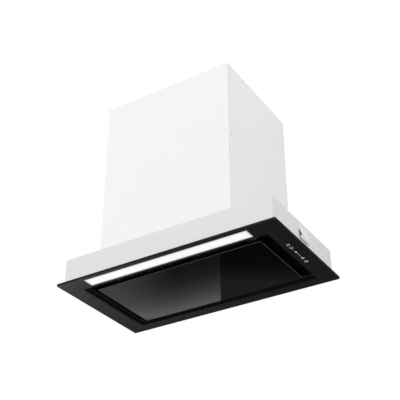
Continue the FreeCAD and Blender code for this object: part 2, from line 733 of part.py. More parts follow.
def light_channel():
    """An aluminium extrusion over the strip that carries the lamps and sheds their heat through fins."""
    front, back = channel_span()
    x = span(0, LIGHT_LENGTH)
    top = LIGHT_Z + CHANNEL_HEIGHT
    body = block(x, (front, back), (LIGHT_Z, top))
    hollow = block((x[0] - OVER, x[1] + OVER), (front + CHANNEL_WALL, back - CHANNEL_WALL),
                   (LIGHT_Z - OVER, top - CHANNEL_WALL))
    fins = [block(x, span(y, CHANNEL_WALL), (top - CHANNEL_WALL / 2, top + CHANNEL_FIN))
            for y in even(CHANNEL_FINS, front + CHANNEL_WALL / 2, back - CHANNEL_WALL / 2)]
    return joined([body.cut(hollow)] + fins)


def led_board():
    """The lamp board under the channel's ceiling, with its row of lamps facing down."""
    front, back = channel_span()
    y = (front + back) / 2
    top = LIGHT_Z + CHANNEL_HEIGHT - CHANNEL_WALL
    base = top - LED_BOARD
    board = block(span(0, LIGHT_LENGTH - 2 * LED_BOARD_END), span(y, LED_BOARD_WIDTH), (base, top))
    count = int((LIGHT_LENGTH - 2 * LED_END) / LED_PITCH) + 1
    reach = (count - 1) * LED_PITCH / 2
    lamps = [block(span(x, LED_SIZE), span(y, LED_SIZE), (base - LED_HEIGHT, base))
             for x in even(count, -reach, reach)]
    return joined([board] + lamps)


def touch_window():
    """A black glass strip flush with the fascia, with the keys' signs on it."""
    strip = slab(TOUCH_WIDTH, TOUCH_LENGTH, (FACE_Z, PLATE_Z), TOUCH_CORNER, TOUCH_X)
    lip = slab(TOUCH_BACK_WIDTH, TOUCH_BACK_LENGTH, (PLATE_Z, TOUCH_Z), TOUCH_BACK_CORNER, TOUCH_X)
    return joined([strip, lip])


def touch_board():
    z = (TOUCH_Z, TOUCH_Z + TOUCH_BOARD)
    return slab(TOUCH_BACK_WIDTH, TOUCH_BACK_LENGTH, z, TOUCH_BACK_CORNER, TOUCH_X)


def touch_cover():
    """A plastic box that closes the touch board's back."""
    base = TOUCH_Z + TOUCH_BOARD
    top = base + TOUCH_COVER_HEIGHT
    shell = slab(TOUCH_BACK_WIDTH, TOUCH_BACK_LENGTH, (base, top), TOUCH_BACK_CORNER, TOUCH_X)
    hollow = slab(TOUCH_BACK_WIDTH - 2 * TOUCH_COVER_WALL, TOUCH_BACK_LENGTH - 2 * TOUCH_COVER_WALL,
                  (base - OVER, top - TOUCH_COVER_WALL), max(TOUCH_BACK_CORNER - TOUCH_COVER_WALL, 0),
                  TOUCH_X)
    return shell.cut(hollow)


# Suction panel

def panel_glass():
    glass = slab(PANEL_WIDTH, PANEL_DEPTH, (FACE_Z, PANEL_BACK_Z), GLASS_CORNER, 0, OPENING_Y)
    return glass.makeChamfer(min(GLASS_CHAMFER, GLASS / 4), edges_at(glass, FACE_Z))


def carrier_size():
    return PANEL_WIDTH - 2 * CARRIER_INSET, PANEL_DEPTH - 2 * CARRIER_INSET


def panel_carrier():
    """A shallow steel pan bonded to the back of the glass, stiffened by its lips and by pressed beads."""
    width, depth = carrier_size()
    pan = slab(width, depth, (PANEL_BACK_Z, CARRIER_Z), CARRIER_CORNER, 0, OPENING_Y)
    hollow = slab(width - 2 * CARRIER_SHEET, depth - 2 * CARRIER_SHEET, (CARRIER_PLATE_Z, CARRIER_Z + OVER),
                  CARRIER_CORNER - CARRIER_SHEET, 0, OPENING_Y)
    bead_top = CARRIER_PLATE_Z + BEAD_HEIGHT
    beads = []
    for y in even(3, *span(OPENING_Y, BEAD_SPREAD)):
        bead = slab(width - 2 * BEAD_END, BEAD_WIDTH, (CARRIER_PLATE_Z, bead_top), BEAD_ROUND, 0, y)
        beads.append(bead.makeChamfer(BEAD_SLOPE, edges_at(bead, bead_top)))
    return joined([pan.cut(hollow)] + beads)


def hinge_arm():
    """The right-hand angle on the carrier, with an ear that turns on the hinge pin."""
    outer = HINGE_X + EAR_SHEET
    panel_back = OPENING_BACK - SLOT_FRONT
    back = min(HINGE_Y + EAR_RADIUS, panel_back - CARRIER_INSET - CARRIER_SHEET - FIT)
    front = back - EAR_FOOT
    route = [(HINGE_X - HINGE_ARM_FOOT, CARRIER_PLATE_Z), (outer, CARRIER_PLATE_Z),
             (outer, HINGE_Z + EAR_RADIUS)]
    angle = folded_along_y(route, EAR_SHEET, EAR_BEND, (front, HINGE_Y + EAR_RADIUS))
    x = (HINGE_X - HINGE_ARM_FOOT - OVER, outer + OVER)
    foot = block(x, (front, back), (CARRIER_PLATE_Z, CARRIER_PLATE_Z + EAR_SHEET + EAR_BEND))
    ear = block(x, (HINGE_Y - EAR_RADIUS, back), (CARRIER_PLATE_Z, HINGE_Z))
    crown = rod(EAR_RADIUS, (x[0], HINGE_Y, HINGE_Z), ALONG_X, x[1] - x[0])
    bore = rod(HINGE_PIN_RADIUS + RUNNING, (HINGE_X - OVER, HINGE_Y, HINGE_Z), ALONG_X, EAR_SHEET + 2 * OVER)
    return angle.common(joined([foot, ear, crown])).cut(bore)


def hinge_bracket():
    """The right-hand angle that hangs from the tray's ceiling and holds the hinge pin."""
    inner = HINGE_X + EAR_SHEET + FIT
    y = span(HINGE_Y, 2 * EAR_RADIUS)
    route = [(inner + HINGE_BRACKET_FOOT, TRAY_CEILING), (inner, TRAY_CEILING), (inner, HINGE_Z - EAR_RADIUS)]
    angle = folded_along_y(route, EAR_SHEET, EAR_BEND, y)
    x = (inner - OVER, inner + HINGE_BRACKET_FOOT + OVER)
    plate = block(x, y, (HINGE_Z, TRAY_CEILING))
    crown = rod(EAR_RADIUS, (x[0], HINGE_Y, HINGE_Z), ALONG_X, x[1] - x[0])
    bore = rod(HINGE_PIN_RADIUS, (x[0], HINGE_Y, HINGE_Z), ALONG_X, EAR_SHEET + 2 * OVER)
    return angle.common(joined([plate, crown])).cut(bore)


def hinge_pin():
    """The right-hand pin, set in the bracket, with a head that keeps the ear on."""
    inner = HINGE_X - FIT
    outer = HINGE_X + 2 * EAR_SHEET + FIT + HINGE_PIN_TAIL
    pin = rod(HINGE_PIN_RADIUS, (inner, HINGE_Y, HINGE_Z), ALONG_X, outer - inner)
    head_start = (inner - HINGE_PIN_HEAD_SHEET, HINGE_Y, HINGE_Z)
    head = rod(HINGE_PIN_HEAD, head_start, ALONG_X, HINGE_PIN_HEAD_SHEET)
    return joined([head, pin])


def panel_striker():
    """The right-hand steel step on the carrier that the magnet pulls on."""
    back = CATCH_Y + CATCH_DEPTH
    foot_top = CARRIER_PLATE_Z + CARRIER_SHEET
    route = [(back + STRIKER_FOOT, foot_top), (back, foot_top), (back, CARRIER_Z), (CATCH_Y, CARRIER_Z),
             (CATCH_Y, CARRIER_PLATE_Z)]
    return folded_along_x(route, CARRIER_SHEET, STRIKER_BEND, span(CATCH_X, CATCH_SIZE))


def catch_magnet():
    """The right-hand magnet, just clear of the striker."""
    base = CARRIER_Z + FIT
    return block(span(CATCH_X, CATCH_SIZE), (CATCH_Y, CATCH_Y + CATCH_DEPTH), (base, base + CATCH_MAGNET))


def catch_bracket():
    """The right-hand arm that carries the magnet, from the tray's front wall across the air slot."""
    wall = OPENING_FRONT - TRAY_WALL_GAP
    base = CARRIER_Z + FIT + CATCH_MAGNET
    route = [(wall, base + CATCH_FOOT), (wall, base), (CATCH_Y + CATCH_DEPTH, base)]
    return folded_along_x(route, CATCH_SHEET, CATCH_BEND, span(CATCH_X, CATCH_ARM_WIDTH))


# Lower casing

def seat_frame():
    """The flat flange round the casing's foot that seats against the cabinet, with its fixing holes."""
    edge = FASCIA_SHEET + FIT
    plate = slab(FASCIA_WIDTH - 2 * edge, FASCIA_DEPTH - 2 * edge, (-SEAT_SHEET, 0),
                 max(FASCIA_CORNER - edge, FIT))
    inside = slab(BODY_WIDTH + 2 * SLIP, BODY_DEPTH + 2 * SLIP, (-SEAT_SHEET - OVER, OVER),
                  BODY_CORNER + SLIP)
    holes = [((sx * FIXING_X, sy * FIXING_Y, 0), ALONG_Z) for sx in (-1, 1) for sy in (-1, 1)]
    return drilled(plate.cut(inside), holes, FIXING_HOLE_RADIUS)


def body_shell():
    """The lower casing's walls, with lips turned in at the top for the deck."""
    outer = slab(BODY_WIDTH, BODY_DEPTH, (-SEAT_SHEET, DECK_Z), BODY_CORNER)
    inside = slab(2 * BODY_INNER_X, 2 * BODY_INNER_Y, (-SEAT_SHEET - OVER, DECK_Z - BODY_SHEET),
                  BODY_CORNER - BODY_SHEET)
    mouth = slab(BODY_WIDTH - 2 * BODY_LIP, BODY_DEPTH - 2 * BODY_LIP,
                 (DECK_Z - BODY_SHEET - OVER, DECK_Z + OVER), BODY_CORNER)
    shell = drilled(outer.cut([inside, mouth]), deck_screw_places(), SCREW_HOLE)
    return drilled(shell, rivet_places(), RIVET_RADIUS)


def suction_tray():
    """The air chamber over the panel: walls round the opening and a ceiling out to the casing's walls."""
    inner_w = OPENING_WIDTH + 2 * TRAY_WALL_GAP
    inner_d = OPENING_DEPTH + 2 * TRAY_WALL_GAP
    corner = OPENING_CORNER + TRAY_WALL_GAP
    wide = 2 * (BODY_INNER_X - FIT)
    deep = 2 * (BODY_INNER_Y - FIT)
    walls = slab(inner_w + 2 * TRAY_SHEET, inner_d + 2 * TRAY_SHEET, (0, TRAY_CEILING), corner + TRAY_SHEET,
                 0, OPENING_Y)
    pan = slab(wide, deep, (TRAY_CEILING, TRAY_LIP_Z), BODY_CORNER)
    pan = pan.cut(slab(wide - 2 * TRAY_SHEET, deep - 2 * TRAY_SHEET, (CEILING_Z, TRAY_LIP_Z + OVER),
                       BODY_CORNER - TRAY_SHEET))
    chamber = slab(inner_w, inner_d, (-OVER, TRAY_CEILING), corner, 0, OPENING_Y)
    mouth = slab(FILTER_WIDTH + 2 * FILTER_GAP, FILTER_DEPTH + 2 * FILTER_GAP, (0, CEILING_Z + OVER),
                 FILTER_CORNER, 0, FILTER_Y)
    tray = joined([walls, pan]).cut([chamber, mouth])
    return drilled(tray, fascia_screw_places(), SCREW_HOLE)


def deck_mouth():
    """The deck's air opening into the upper casing."""
    z = (DECK_Z - OVER, BODY_HEIGHT + OVER)
    return slab(HOUSING_WIDTH - 2 * DECK_RIM, HOUSING_DEPTH - 2 * DECK_RIM, z, DECK_MOUTH_CORNER)


def gland_place():
    x = BODY_INNER_X - BODY_LIP - GLAND_FLANGE - GLAND_GAP
    return x, min(GLAND_BACK, BODY_DEPTH / 2 - BODY_LIP - GLAND_FLANGE)


def deck_plate():
    """The lower casing's top, which carries the upper casing."""
    x, y = gland_place()
    deck = slab(BODY_WIDTH, BODY_DEPTH, (DECK_Z, BODY_HEIGHT), BODY_CORNER).cut(deck_mouth())
    deck = deck.cut(rod(GLAND_RADIUS + SLIP, (x, y, DECK_Z - OVER), ALONG_Z, DECK_SHEET + 2 * OVER))
    return drilled(drilled(deck, deck_screw_places(), SCREW_HOLE), foot_screw_places(), SCREW_HOLE)


def side_clip():
    """The right-hand leaf spring that snaps out over the cabinet board as the hood is pushed up."""
    wall = BODY_WIDTH / 2
    route = [(wall, CLIP_TOP), (wall, CLIP_BEND), (wall + CLIP_REACH, BOARD + CLIP_KNEE_RISE),
             (wall + CLIP_TIP_GAP, BOARD + CLIP_TIP_RISE)]
    clip = folded_along_y(route, CLIP_SHEET, CLIP_ROUND, span(0, CLIP_WIDTH))
    return drilled(clip, rivet_places()[2:], RIVET_RADIUS)


def rivet_places():
    places = []
    for side in (-1, 1):
        for y in span(0, RIVET_SPREAD):
            point = (side * (BODY_WIDTH / 2 + CLIP_SHEET), y, RIVET_Z)
            places.append((point, ALONG_X * -side))
    return places


def clip_rivets():
    rivets = []
    for point, along in rivet_places():
        head = Part.makeCylinder(RIVET_HEAD, RIVET_HEAD_SHEET, V(*point), along * -1)
        tail_start = V(*point) + along * (CLIP_SHEET + BODY_SHEET)
        tail = Part.makeCylinder(RIVET_TAIL, RIVET_TAIL_SHEET, tail_start, along)
        shank = Part.makeCylinder(RIVET_RADIUS, CLIP_SHEET + BODY_SHEET, V(*point), along)
        rivets.append(joined([head, shank, tail]))
    return group(rivets)


# Grease filter and its latch

def filter_frame():
    """The cassette's channel frame, with tabs at the back that rest on the tray's ceiling."""
    top = FILTER_Z + FILTER_THICKNESS
    outer = slab(FILTER_WIDTH, FILTER_DEPTH, (FILTER_Z, top), FILTER_CORNER, 0, FILTER_Y)
    hole = slab(FILTER_WIDTH - 2 * FILTER_RAIL, FILTER_DEPTH - 2 * FILTER_RAIL,
                (FILTER_Z - OVER, top + OVER), FILTER_CORNER, 0, FILTER_Y)
    edge = FILTER_RAIL - FILTER_GROOVE
    groove = slab(FILTER_WIDTH - 2 * edge, FILTER_DEPTH - 2 * edge,
                  (FILTER_Z + FILTER_LIP, top - FILTER_LIP), FILTER_GROOVE_CORNER, 0, FILTER_Y)
    frame = outer.cut([hole, groove])
    back = FILTER_Y + FILTER_DEPTH / 2
    tab_z = (CEILING_Z, CEILING_Z + FILTER_TAB_SHEET)
    tabs = [block(span(x, FILTER_TAB_WIDTH), (back - FILTER_TAB_ROOT, back + FILTER_TAB), tab_z)
            for x in span(0, FILTER_TAB_SPREAD)]
    return joined([frame] + tabs)


def filter_mesh():
    """The pressed grease mesh: one plate with rows of diamond gaps."""
    edge = FILTER_RAIL - FILTER_GROOVE + SLIP
    low = FILTER_Z + FILTER_LIP + SLIP
    high = FILTER_Z + FILTER_THICKNESS - FILTER_LIP - SLIP
    face = rounded_face(FILTER_WIDTH - 2 * edge, FILTER_DEPTH - 2 * edge, FILTER_GROOVE_CORNER, 0, FILTER_Y,
                        low)
    open_w = FILTER_WIDTH - 2 * FILTER_RAIL
    open_d = FILTER_DEPTH - 2 * FILTER_RAIL
    step_x = open_w / MESH_COLUMNS
    step_y = open_d / MESH_ROWS
    half_x = (step_x - MESH_WEB * 0.5) / 2
    half_y = (step_y - MESH_WEB * 0.5) / 2
    wires = []
    for row in range(MESH_ROWS):
        y = FILTER_Y - open_d / 2 + step_y * (row + 0.5)
        for column in range(MESH_COLUMNS):
            x = -open_w / 2 + step_x * (column + 0.5)
            corners = [V(x - half_x, y, low), V(x, y - half_y, low),
                       V(x + half_x, y, low), V(x, y + half_y, low)]
            wires.append(Part.makePolygon(corners + corners[:1]))
    holed = Part.makeFace([face.OuterWire] + wires, "Part::FaceMakerBullseye")
    return holed.extrude(V(0, 0, high - low))


def latch_levels():
    """Underside and top of the latch plate, which slides just under the cassette."""
    top = FILTER_Z - FIT
    return top - LATCH_THICKNESS, top


def guide_span():
    """Front and back of the latch's guide."""
    front = FILTER_FRONT_Y + GUIDE_START
    return front, front + LATCH_LENGTH + LATCH_TRAVEL + GUIDE_WALL + GUIDE_END_ROOM


def latch_guide():
    """The plastic slide that holds the latch under the cassette's front rail."""
    low = latch_levels()[0]
    front, back = guide_span()
    floor = low - FIT - GUIDE_FLOOR
    shell = slab(LATCH_WIDTH + 2 * GUIDE_WALL, back - front, (floor, FILTER_Z), GUIDE_CORNER, 0,
                 (front + back) / 2)
    run = block(span(0, LATCH_WIDTH + 2 * FIT), (front - OVER, back - GUIDE_WALL),
                (low - FIT, FILTER_Z + OVER))
    window = block(span(0, LATCH_TAB_WIDTH + 2 * GUIDE_WINDOW_ROOM), (front + GUIDE_SILL, back - GUIDE_WALL),
                   (floor - OVER, low))
    return shell.cut([run, window])


def filter_latch():
    """The sliding bolt, with a bevelled tip for the keeper and a finger tab with round corners."""
    low, high = latch_levels()
    front = guide_span()[0]
    nose = FILTER_FRONT_Y - LATCH_TIP
    plate = block(span(0, LATCH_WIDTH), (front, front + LATCH_LENGTH), (low, high))
    outline = [(nose, low), (front + OVER, low), (front + OVER, high), (nose + LATCH_BEVEL, high),
               (nose, high - LATCH_BEVEL)]
    points = [V(-LATCH_TIP_WIDTH / 2, y, z) for y, z in outline]
    tip = Part.Face(Part.makePolygon(points + points[:1])).extrude(V(LATCH_TIP_WIDTH, 0, 0))
    foot = low - LATCH_TAB
    tab = block(span(0, LATCH_TAB_WIDTH), span(front + LATCH_LENGTH / 2, LATCH_TAB_SHEET), (foot, high))
    ends = [e for e in edges_at(tab, foot) if e.BoundBox.YLength > e.BoundBox.XLength]
    return joined([plate, tip, tab.makeFillet(LATCH_TAB_CORNER, ends)])


def latch_spring():
    """A waved leaf spring that pushes the bolt out to the front."""
    low, high = latch_levels()
    front, back = guide_span()
    ends = (front + LATCH_LENGTH + FIT + SPRING_STRIP, back - GUIDE_WALL - FIT - SPRING_STRIP)
    reach = LATCH_WIDTH / 2 - SPRING_END
    turns = even(2 * SPRING_WAVES + 1, -reach, reach)
    points = [V(x, ends[i % 2], low + SPRING_EDGE) for i, x in enumerate(turns)]
    strip = Part.makePolygon(points).makeOffset2D(SPRING_STRIP, 0, True, True)
    return strip.extrude(V(0, 0, high - low - 2 * SPRING_EDGE))


def latch_keeper():
    """The folded step under the tray's ceiling that carries the bolt's tip."""
    ledge = latch_levels()[0] - FIT - KEEPER_SHEET
    ceiling = TRAY_CEILING - KEEPER_SHEET
    end = FILTER_FRONT_Y - FILTER_GAP
    front = end - KEEPER_LEDGE
    route = [(front - KEEPER_FOOT, ceiling), (front, ceiling), (front, ledge), (end, ledge)]
    return folded_along_x(route, KEEPER_SHEET, KEEPER_BEND, span(0, KEEPER_WIDTH))


# Upper casing

def housing_wrap():
    """Left side, back and right side in one folded sheet, with feet on the deck."""
    front = -HOUSING_DEPTH / 2
    spare = 4 * HOUSING_CORNER
    outer = slab(HOUSING_WIDTH, HOUSING_DEPTH + spare, (BODY_HEIGHT, TOP_PLATE_Z), HOUSING_CORNER, 0,
                 -spare / 2)
    inside = slab(2 * HOUSING_INNER_X, 2 * HOUSING_INNER_Y + spare, (BODY_HEIGHT - OVER, TOP_Z),
                  HOUSING_CORNER - HOUSING_SHEET, 0, -spare / 2)
    feet = slab(HOUSING_WIDTH + 2 * HOUSING_FOOT, HOUSING_DEPTH - 2 * HOUSING_CORNER,
                (BODY_HEIGHT, BODY_HEIGHT + HOUSING_SHEET))
    sill = block(span(0, 2 * HOUSING_INNER_X), (HOUSING_INNER_Y - HOUSING_FOOT, HOUSING_INNER_Y),
                 (BODY_HEIGHT, BODY_HEIGHT + HOUSING_SHEET))
    away = block((-HOUSING_WIDTH, HOUSING_WIDTH), (front - 2 * spare, front + HOUSING_SHEET + HOUSING_SEAM),
                 (BODY_HEIGHT - OVER, TOP_Z))
    wrap = outer.fuse(feet).cut([inside, away]).fuse(sill).removeSplitter()
    wrap = drilled(wrap, foot_screw_places(), SCREW_HOLE)
    return drilled(wrap, cover_screw_places() + lid_screw_places(), SCREW_HOLE)


def housing_front():
    """The front cover: a plate with lips that slip inside the sides."""
    front = -HOUSING_DEPTH / 2
    base = BODY_HEIGHT
    plate = block(span(0, HOUSING_WIDTH), (front, front + HOUSING_SHEET), (base, TOP_PLATE_Z))
    lip_x = HOUSING_INNER_X - SLIP
    solids = [plate]
    for side in (-1, 1):
        x = sorted((side * lip_x, side * (lip_x - HOUSING_SHEET)))
        solids.append(block(x, (front, front + HOUSING_LIP), (base, TOP_PLATE_Z - HOUSING_LIP - 2 * OVER)))
    solids.append(block(span(0, 2 * lip_x), (front, front + HOUSING_FOOT), (base, base + HOUSING_SHEET)))
    return drilled(joined(solids), cover_screw_places(), SCREW_HOLE)


def housing_top():
    """The top plate, with lips down inside the walls and a round mouth under the collar."""
    plate = slab(HOUSING_WIDTH, HOUSING_DEPTH, (TOP_PLATE_Z, TOP_Z), HOUSING_CORNER)
    lip_x = HOUSING_INNER_X - SLIP
    solids = [plate]
    for side in (-1, 1):
        x = sorted((side * lip_x, side * (lip_x - HOUSING_SHEET)))
        solids.append(block(x, span(0, HOUSING_DEPTH - 2 * HOUSING_LIP), (TOP_Z - HOUSING_LIP, TOP_Z)))
    mouth = rod(COLLAR_BORE - COLLAR_STOP, (0, COLLAR_Y, TOP_PLATE_Z - OVER), ALONG_Z,
                HOUSING_SHEET + 2 * OVER)
    top = drilled(joined(solids).cut(mouth), collar_screw_places(), SCREW_HOLE)
    return drilled(top, lid_screw_places(), SCREW_HOLE)


# Blower

def spiral_point(angle, shift, x):
    radius = SCROLL_START + growth_at(angle) + shift
    return V(x, FAN_Y + radius * math.cos(angle), FAN_Z + radius * math.sin(angle))


def scroll_face(shift, x, top):
    """The scroll's outline at X: a spiral in six arcs that runs out into the outlet, moved out by a shift."""
    steps = 6
    angles = [TONGUE + TURN * i / steps for i in range(steps + 1)]
    edges = []
    for first, last in zip(angles, angles[1:]):
        arc = [spiral_point(angle, shift, x) for angle in (first, (first + last) / 2, last)]
        edges.append(Part.Arc(*arc).toShape())
    start = spiral_point(angles[0], shift, x)
    end = spiral_point(angles[-1], shift, x)
    back_top = V(x, end.y, top)
    front_top = V(x, start.y, top)
    edges.append(Part.LineSegment(end, back_top).toShape())
    edges.append(Part.LineSegment(back_top, front_top).toShape())
    edges.append(Part.LineSegment(front_top, start).toShape())
    return Part.Face(Part.Wire(edges))


def scroll_ribs():
    """Stiffening ribs on the scroll's sides, from the motor's bushes out to the outline."""
    half = SCROLL_WIDTH / 2 + RIB_HEIGHT
    inner = BUSH_CIRCLE + BUSH_RADIUS + RIB_GAP
    outline = scroll_face(0, -half, SCROLL_TOP).extrude(V(2 * half, 0, 0))
    ribs = []
    for degrees in even(RIBS, RIB_FIRST, RIB_LAST):
        rib = block((-half, half), span(FAN_Y, RIB_SHEET), (FAN_Z + inner, FAN_Z + 2 * SCROLL_START))
        rib.rotate(V(0, FAN_Y, FAN_Z), ALONG_X, degrees - 90)
        ribs.append(rib.common(outline))
    return ribs


def scroll():
    """The whole scroll, before it is split: walls, inlet lips, outlet, split rim, ribs and feet."""
    half = SCROLL_WIDTH / 2
    wide = V(SCROLL_WIDTH, 0, 0)
    lip = half + INLET_LIP
    outer = scroll_face(0, -half, SCROLL_TOP).extrude(wide)
    rim = scroll_face(SCROLL_RIM, -SCROLL_RIM_HALF, SCROLL_TOP - SCROLL_RIM)
    rim = rim.extrude(V(2 * SCROLL_RIM_HALF, 0, 0))
    room = HOUSING_INNER_Y - FIT
    rim = rim.common(block((-half, half), (-room, room), (BODY_HEIGHT, TOP_Z)))
    lips = rod(INLET_RADIUS + INLET_LIP_WALL, (-lip, FAN_Y, FAN_Z), ALONG_X, 2 * lip)
    feet = []
    for y in span(FAN_Y, RAIL_SPREAD):
        for x in (-half + FOOT_LENGTH / 2, half - FOOT_LENGTH / 2):
            feet.append(block(span(x, FOOT_LENGTH), span(y, FOOT_DEPTH), (RAIL_Z, FAN_Z - RAIL_SPREAD / 2)))
    inner = scroll_face(-SCROLL_WALL, -half + SCROLL_WALL, SCROLL_TOP + OVER)
    inner = inner.extrude(wide - ALONG_X * (2 * SCROLL_WALL))
    inlet = rod(INLET_RADIUS, (-lip - OVER, FAN_Y, FAN_Z), ALONG_X, 2 * (lip + OVER))
    hollow = joined([outer, rim, lips] + feet + scroll_ribs()).cut([inner, inlet])
    mouths = [e for e in hollow.Edges if isinstance(e.Curve, Part.Circle)
              and abs(e.Curve.Radius - INLET_RADIUS) < 1e-4 and abs(abs(e.CenterOfMass.x) - lip) < 1e-4]
    return hollow.makeFillet(min(INLET_ROUND, INLET_LIP_WALL * 0.9), mouths)


def scroll_halves():
    whole = drilled(scroll(), rim_screw_places(), SCREW_HOLE)
    whole = drilled(whole, motor_screw_places(), SCREW_HOLE, motor_screw_length())
    far = HOUSING_WIDTH
    room = ((-far, far), (0, 2 * TOP_Z))
    left = whole.common(block((-far, 0), room[0], room[1]))
    right = whole.common(block((0, far), room[0], room[1]))
    return left, right


def transition(shift, radius, low, high):
    """A solid from the scroll's square outlet to a round mouth, with a fan of flats at each corner."""
    x = SCROLL_WIDTH / 2 - shift
    front = TONGUE_Y + shift
    back = SCROLL_BACK - shift
    corners = [V(x, back, low), V(-x, back, low), V(-x, front, low), V(x, front, low)]
    count = 4 * DUCT_FLATS
    ring = []
    for i in range(count):
        angle = 2 * math.pi * i / count
        ring.append(V(radius * math.cos(angle), COLLAR_Y + radius * math.sin(angle), high))
    outlines = [corners, ring]
    for quarter, corner in enumerate(corners):
        first = quarter * DUCT_FLATS
        for i in range(first, first + DUCT_FLATS):
            outlines.append([corner, ring[i], ring[(i + 1) % count]])
        outlines.append([corner, corners[(quarter + 1) % 4], ring[(first + DUCT_FLATS) % count]])
    faces = [Part.Face(Part.makePolygon(points + points[:1])) for points in outlines]
    return Part.Solid(Part.Shell(faces))


def outlet_duct():
    """The transition from the scroll's square outlet to the collar's round mouth."""
    radius = COLLAR_BORE - COLLAR_STOP + DUCT_WALL
    outer = transition(0, radius, SCROLL_TOP, TOP_PLATE_Z)
    inner = transition(SCROLL_WALL, radius - DUCT_WALL, SCROLL_TOP, TOP_PLATE_Z)
    return outer.cut(inner)


def fan_blade():
    """One forward-curved blade, drawn out over the fan's whole width."""
    inner = FAN_RADIUS - FAN_BLADE_CHORD
    outer = FAN_RADIUS - FAN_BLADE_TIP
    middle = (inner + FAN_RADIUS) / 2
    lean = FAN_BLADE_BOW

    def at(radius, side):
        return V(-FAN_WIDTH / 2, FAN_Y + side, FAN_Z + radius)
    front = [at(inner, 0), at(middle, -lean), at(outer, lean)]
    back = [point + V(0, FAN_BLADE, 0) for point in reversed(front)]
    edges = [Part.Arc(*front), Part.LineSegment(front[2], back[0]), Part.Arc(*back),
             Part.LineSegment(back[2], front[0])]
    return Part.Face(Part.Wire([e.toShape() for e in edges])).extrude(V(FAN_WIDTH, 0, 0))


def impeller():
    """Double-inlet fan: blades on a middle disc with a coned hub, tied by a ring at each end."""
    half = FAN_DISC / 2
    start = FAN_DISC - HUB_LENGTH
    flare = HUB_RADIUS + HUB_FLARE
    hub = spun([(start, SHAFT_RADIUS), (start, HUB_RADIUS), (-half - HUB_CONE, HUB_RADIUS), (-half, flare),
                (half, flare), (half, HUB_RADIUS), (FAN_DISC, HUB_RADIUS), (FAN_DISC, SHAFT_RADIUS)])
    solids = [rod(FAN_RADIUS - FAN_DISC_EDGE, (-half, FAN_Y, FAN_Z), ALONG_X, FAN_DISC), hub]
    for x in (-FAN_WIDTH / 2, FAN_WIDTH / 2 - FAN_RING_SHEET):
        solids.append(tube(FAN_RADIUS, FAN_RADIUS - FAN_RING, (x, FAN_Y, FAN_Z), ALONG_X, FAN_RING_SHEET))
    blade = fan_blade()
    for i in range(FAN_BLADES):
        turned_blade = blade.copy()
        turned_blade.rotate(V(0, FAN_Y, FAN_Z), ALONG_X, 360.0 * i / FAN_BLADES)
        solids.append(turned_blade)
    bore = rod(SHAFT_RADIUS, (-FAN_WIDTH, FAN_Y, FAN_Z), ALONG_X, 2 * FAN_WIDTH)
    return joined(solids).cut(bore)


def motor_shaft():
    length = SHAFT_FRONT + MOTOR_END + SHAFT_BACK
    return rod(SHAFT_RADIUS, (-SHAFT_FRONT, FAN_Y, FAN_Z), ALONG_X, length)


def fan_nut():
    """The nut that clamps the fan on the shaft."""
    start = -HUB_LENGTH + FAN_DISC - NUT_HEIGHT
    nut = hexagon(NUT_WIDTH, NUT_HEIGHT)
    nut.rotate(V(0, 0, 0), ALONG_Y, 90)
    nut.translate(V(start, FAN_Y, FAN_Z))
    return nut.cut(rod(SHAFT_RADIUS, (start - OVER, FAN_Y, FAN_Z), ALONG_X, NUT_HEIGHT + 2 * OVER))


def motor_can():
    """The motor's steel case: a stepped cap at each end, bored for the bearing, and vents in the front."""
    cap = MOTOR_RADIUS - MOTOR_STEP
    start = [(MOTOR_START, BEARING_RADIUS), (MOTOR_START, cap - MOTOR_EDGE), (MOTOR_START + MOTOR_EDGE, cap),
             (MOTOR_START + MOTOR_STEP, cap), (MOTOR_START + MOTOR_STEP, MOTOR_RADIUS - MOTOR_EDGE),
             (MOTOR_START + MOTOR_STEP + MOTOR_EDGE, MOTOR_RADIUS)]
    end = [(MOTOR_START + MOTOR_END - x, radius) for x, radius in reversed(start)]
    hollow = rod(MOTOR_RADIUS - MOTOR_WALL, (MOTOR_START + MOTOR_CAP, FAN_Y, FAN_Z), ALONG_X,
                 MOTOR_END - MOTOR_START - 2 * MOTOR_CAP)
    vents = []
    for i in range(VENTS):
        vent_start = (MOTOR_START - OVER, FAN_Y, FAN_Z + VENT_CIRCLE)
        vent = rod(VENT_RADIUS, vent_start, ALONG_X, MOTOR_CAP + 2 * OVER)
        vent.rotate(V(0, FAN_Y, FAN_Z), ALONG_X, 360.0 * i / VENTS)
        vents.append(vent)
    return spun(start + end).cut([hollow] + vents)


def motor_bearings():
    rings = []
    for x in (MOTOR_START, MOTOR_END - MOTOR_CAP):
        rings.append(tube(BEARING_RADIUS, SHAFT_RADIUS + RUNNING, (x, FAN_Y, FAN_Z), ALONG_X, MOTOR_CAP))
    return group(rings)


def stator_span():
    start = MOTOR_START + MOTOR_CAP + STATOR_END
    return start, MOTOR_END - MOTOR_CAP - STATOR_END - start


def motor_stator():
    start, length = stator_span()
    outer = MOTOR_RADIUS - MOTOR_WALL
    return tube(outer, outer - STATOR_WALL, (start, FAN_Y, FAN_Z), ALONG_X, length)


def motor_rotor():
    start, length = stator_span()
    radius = MOTOR_RADIUS - MOTOR_WALL - STATOR_WALL - ROTOR_GAP
    return tube(radius, SHAFT_RADIUS, (start, FAN_Y, FAN_Z), ALONG_X, length)


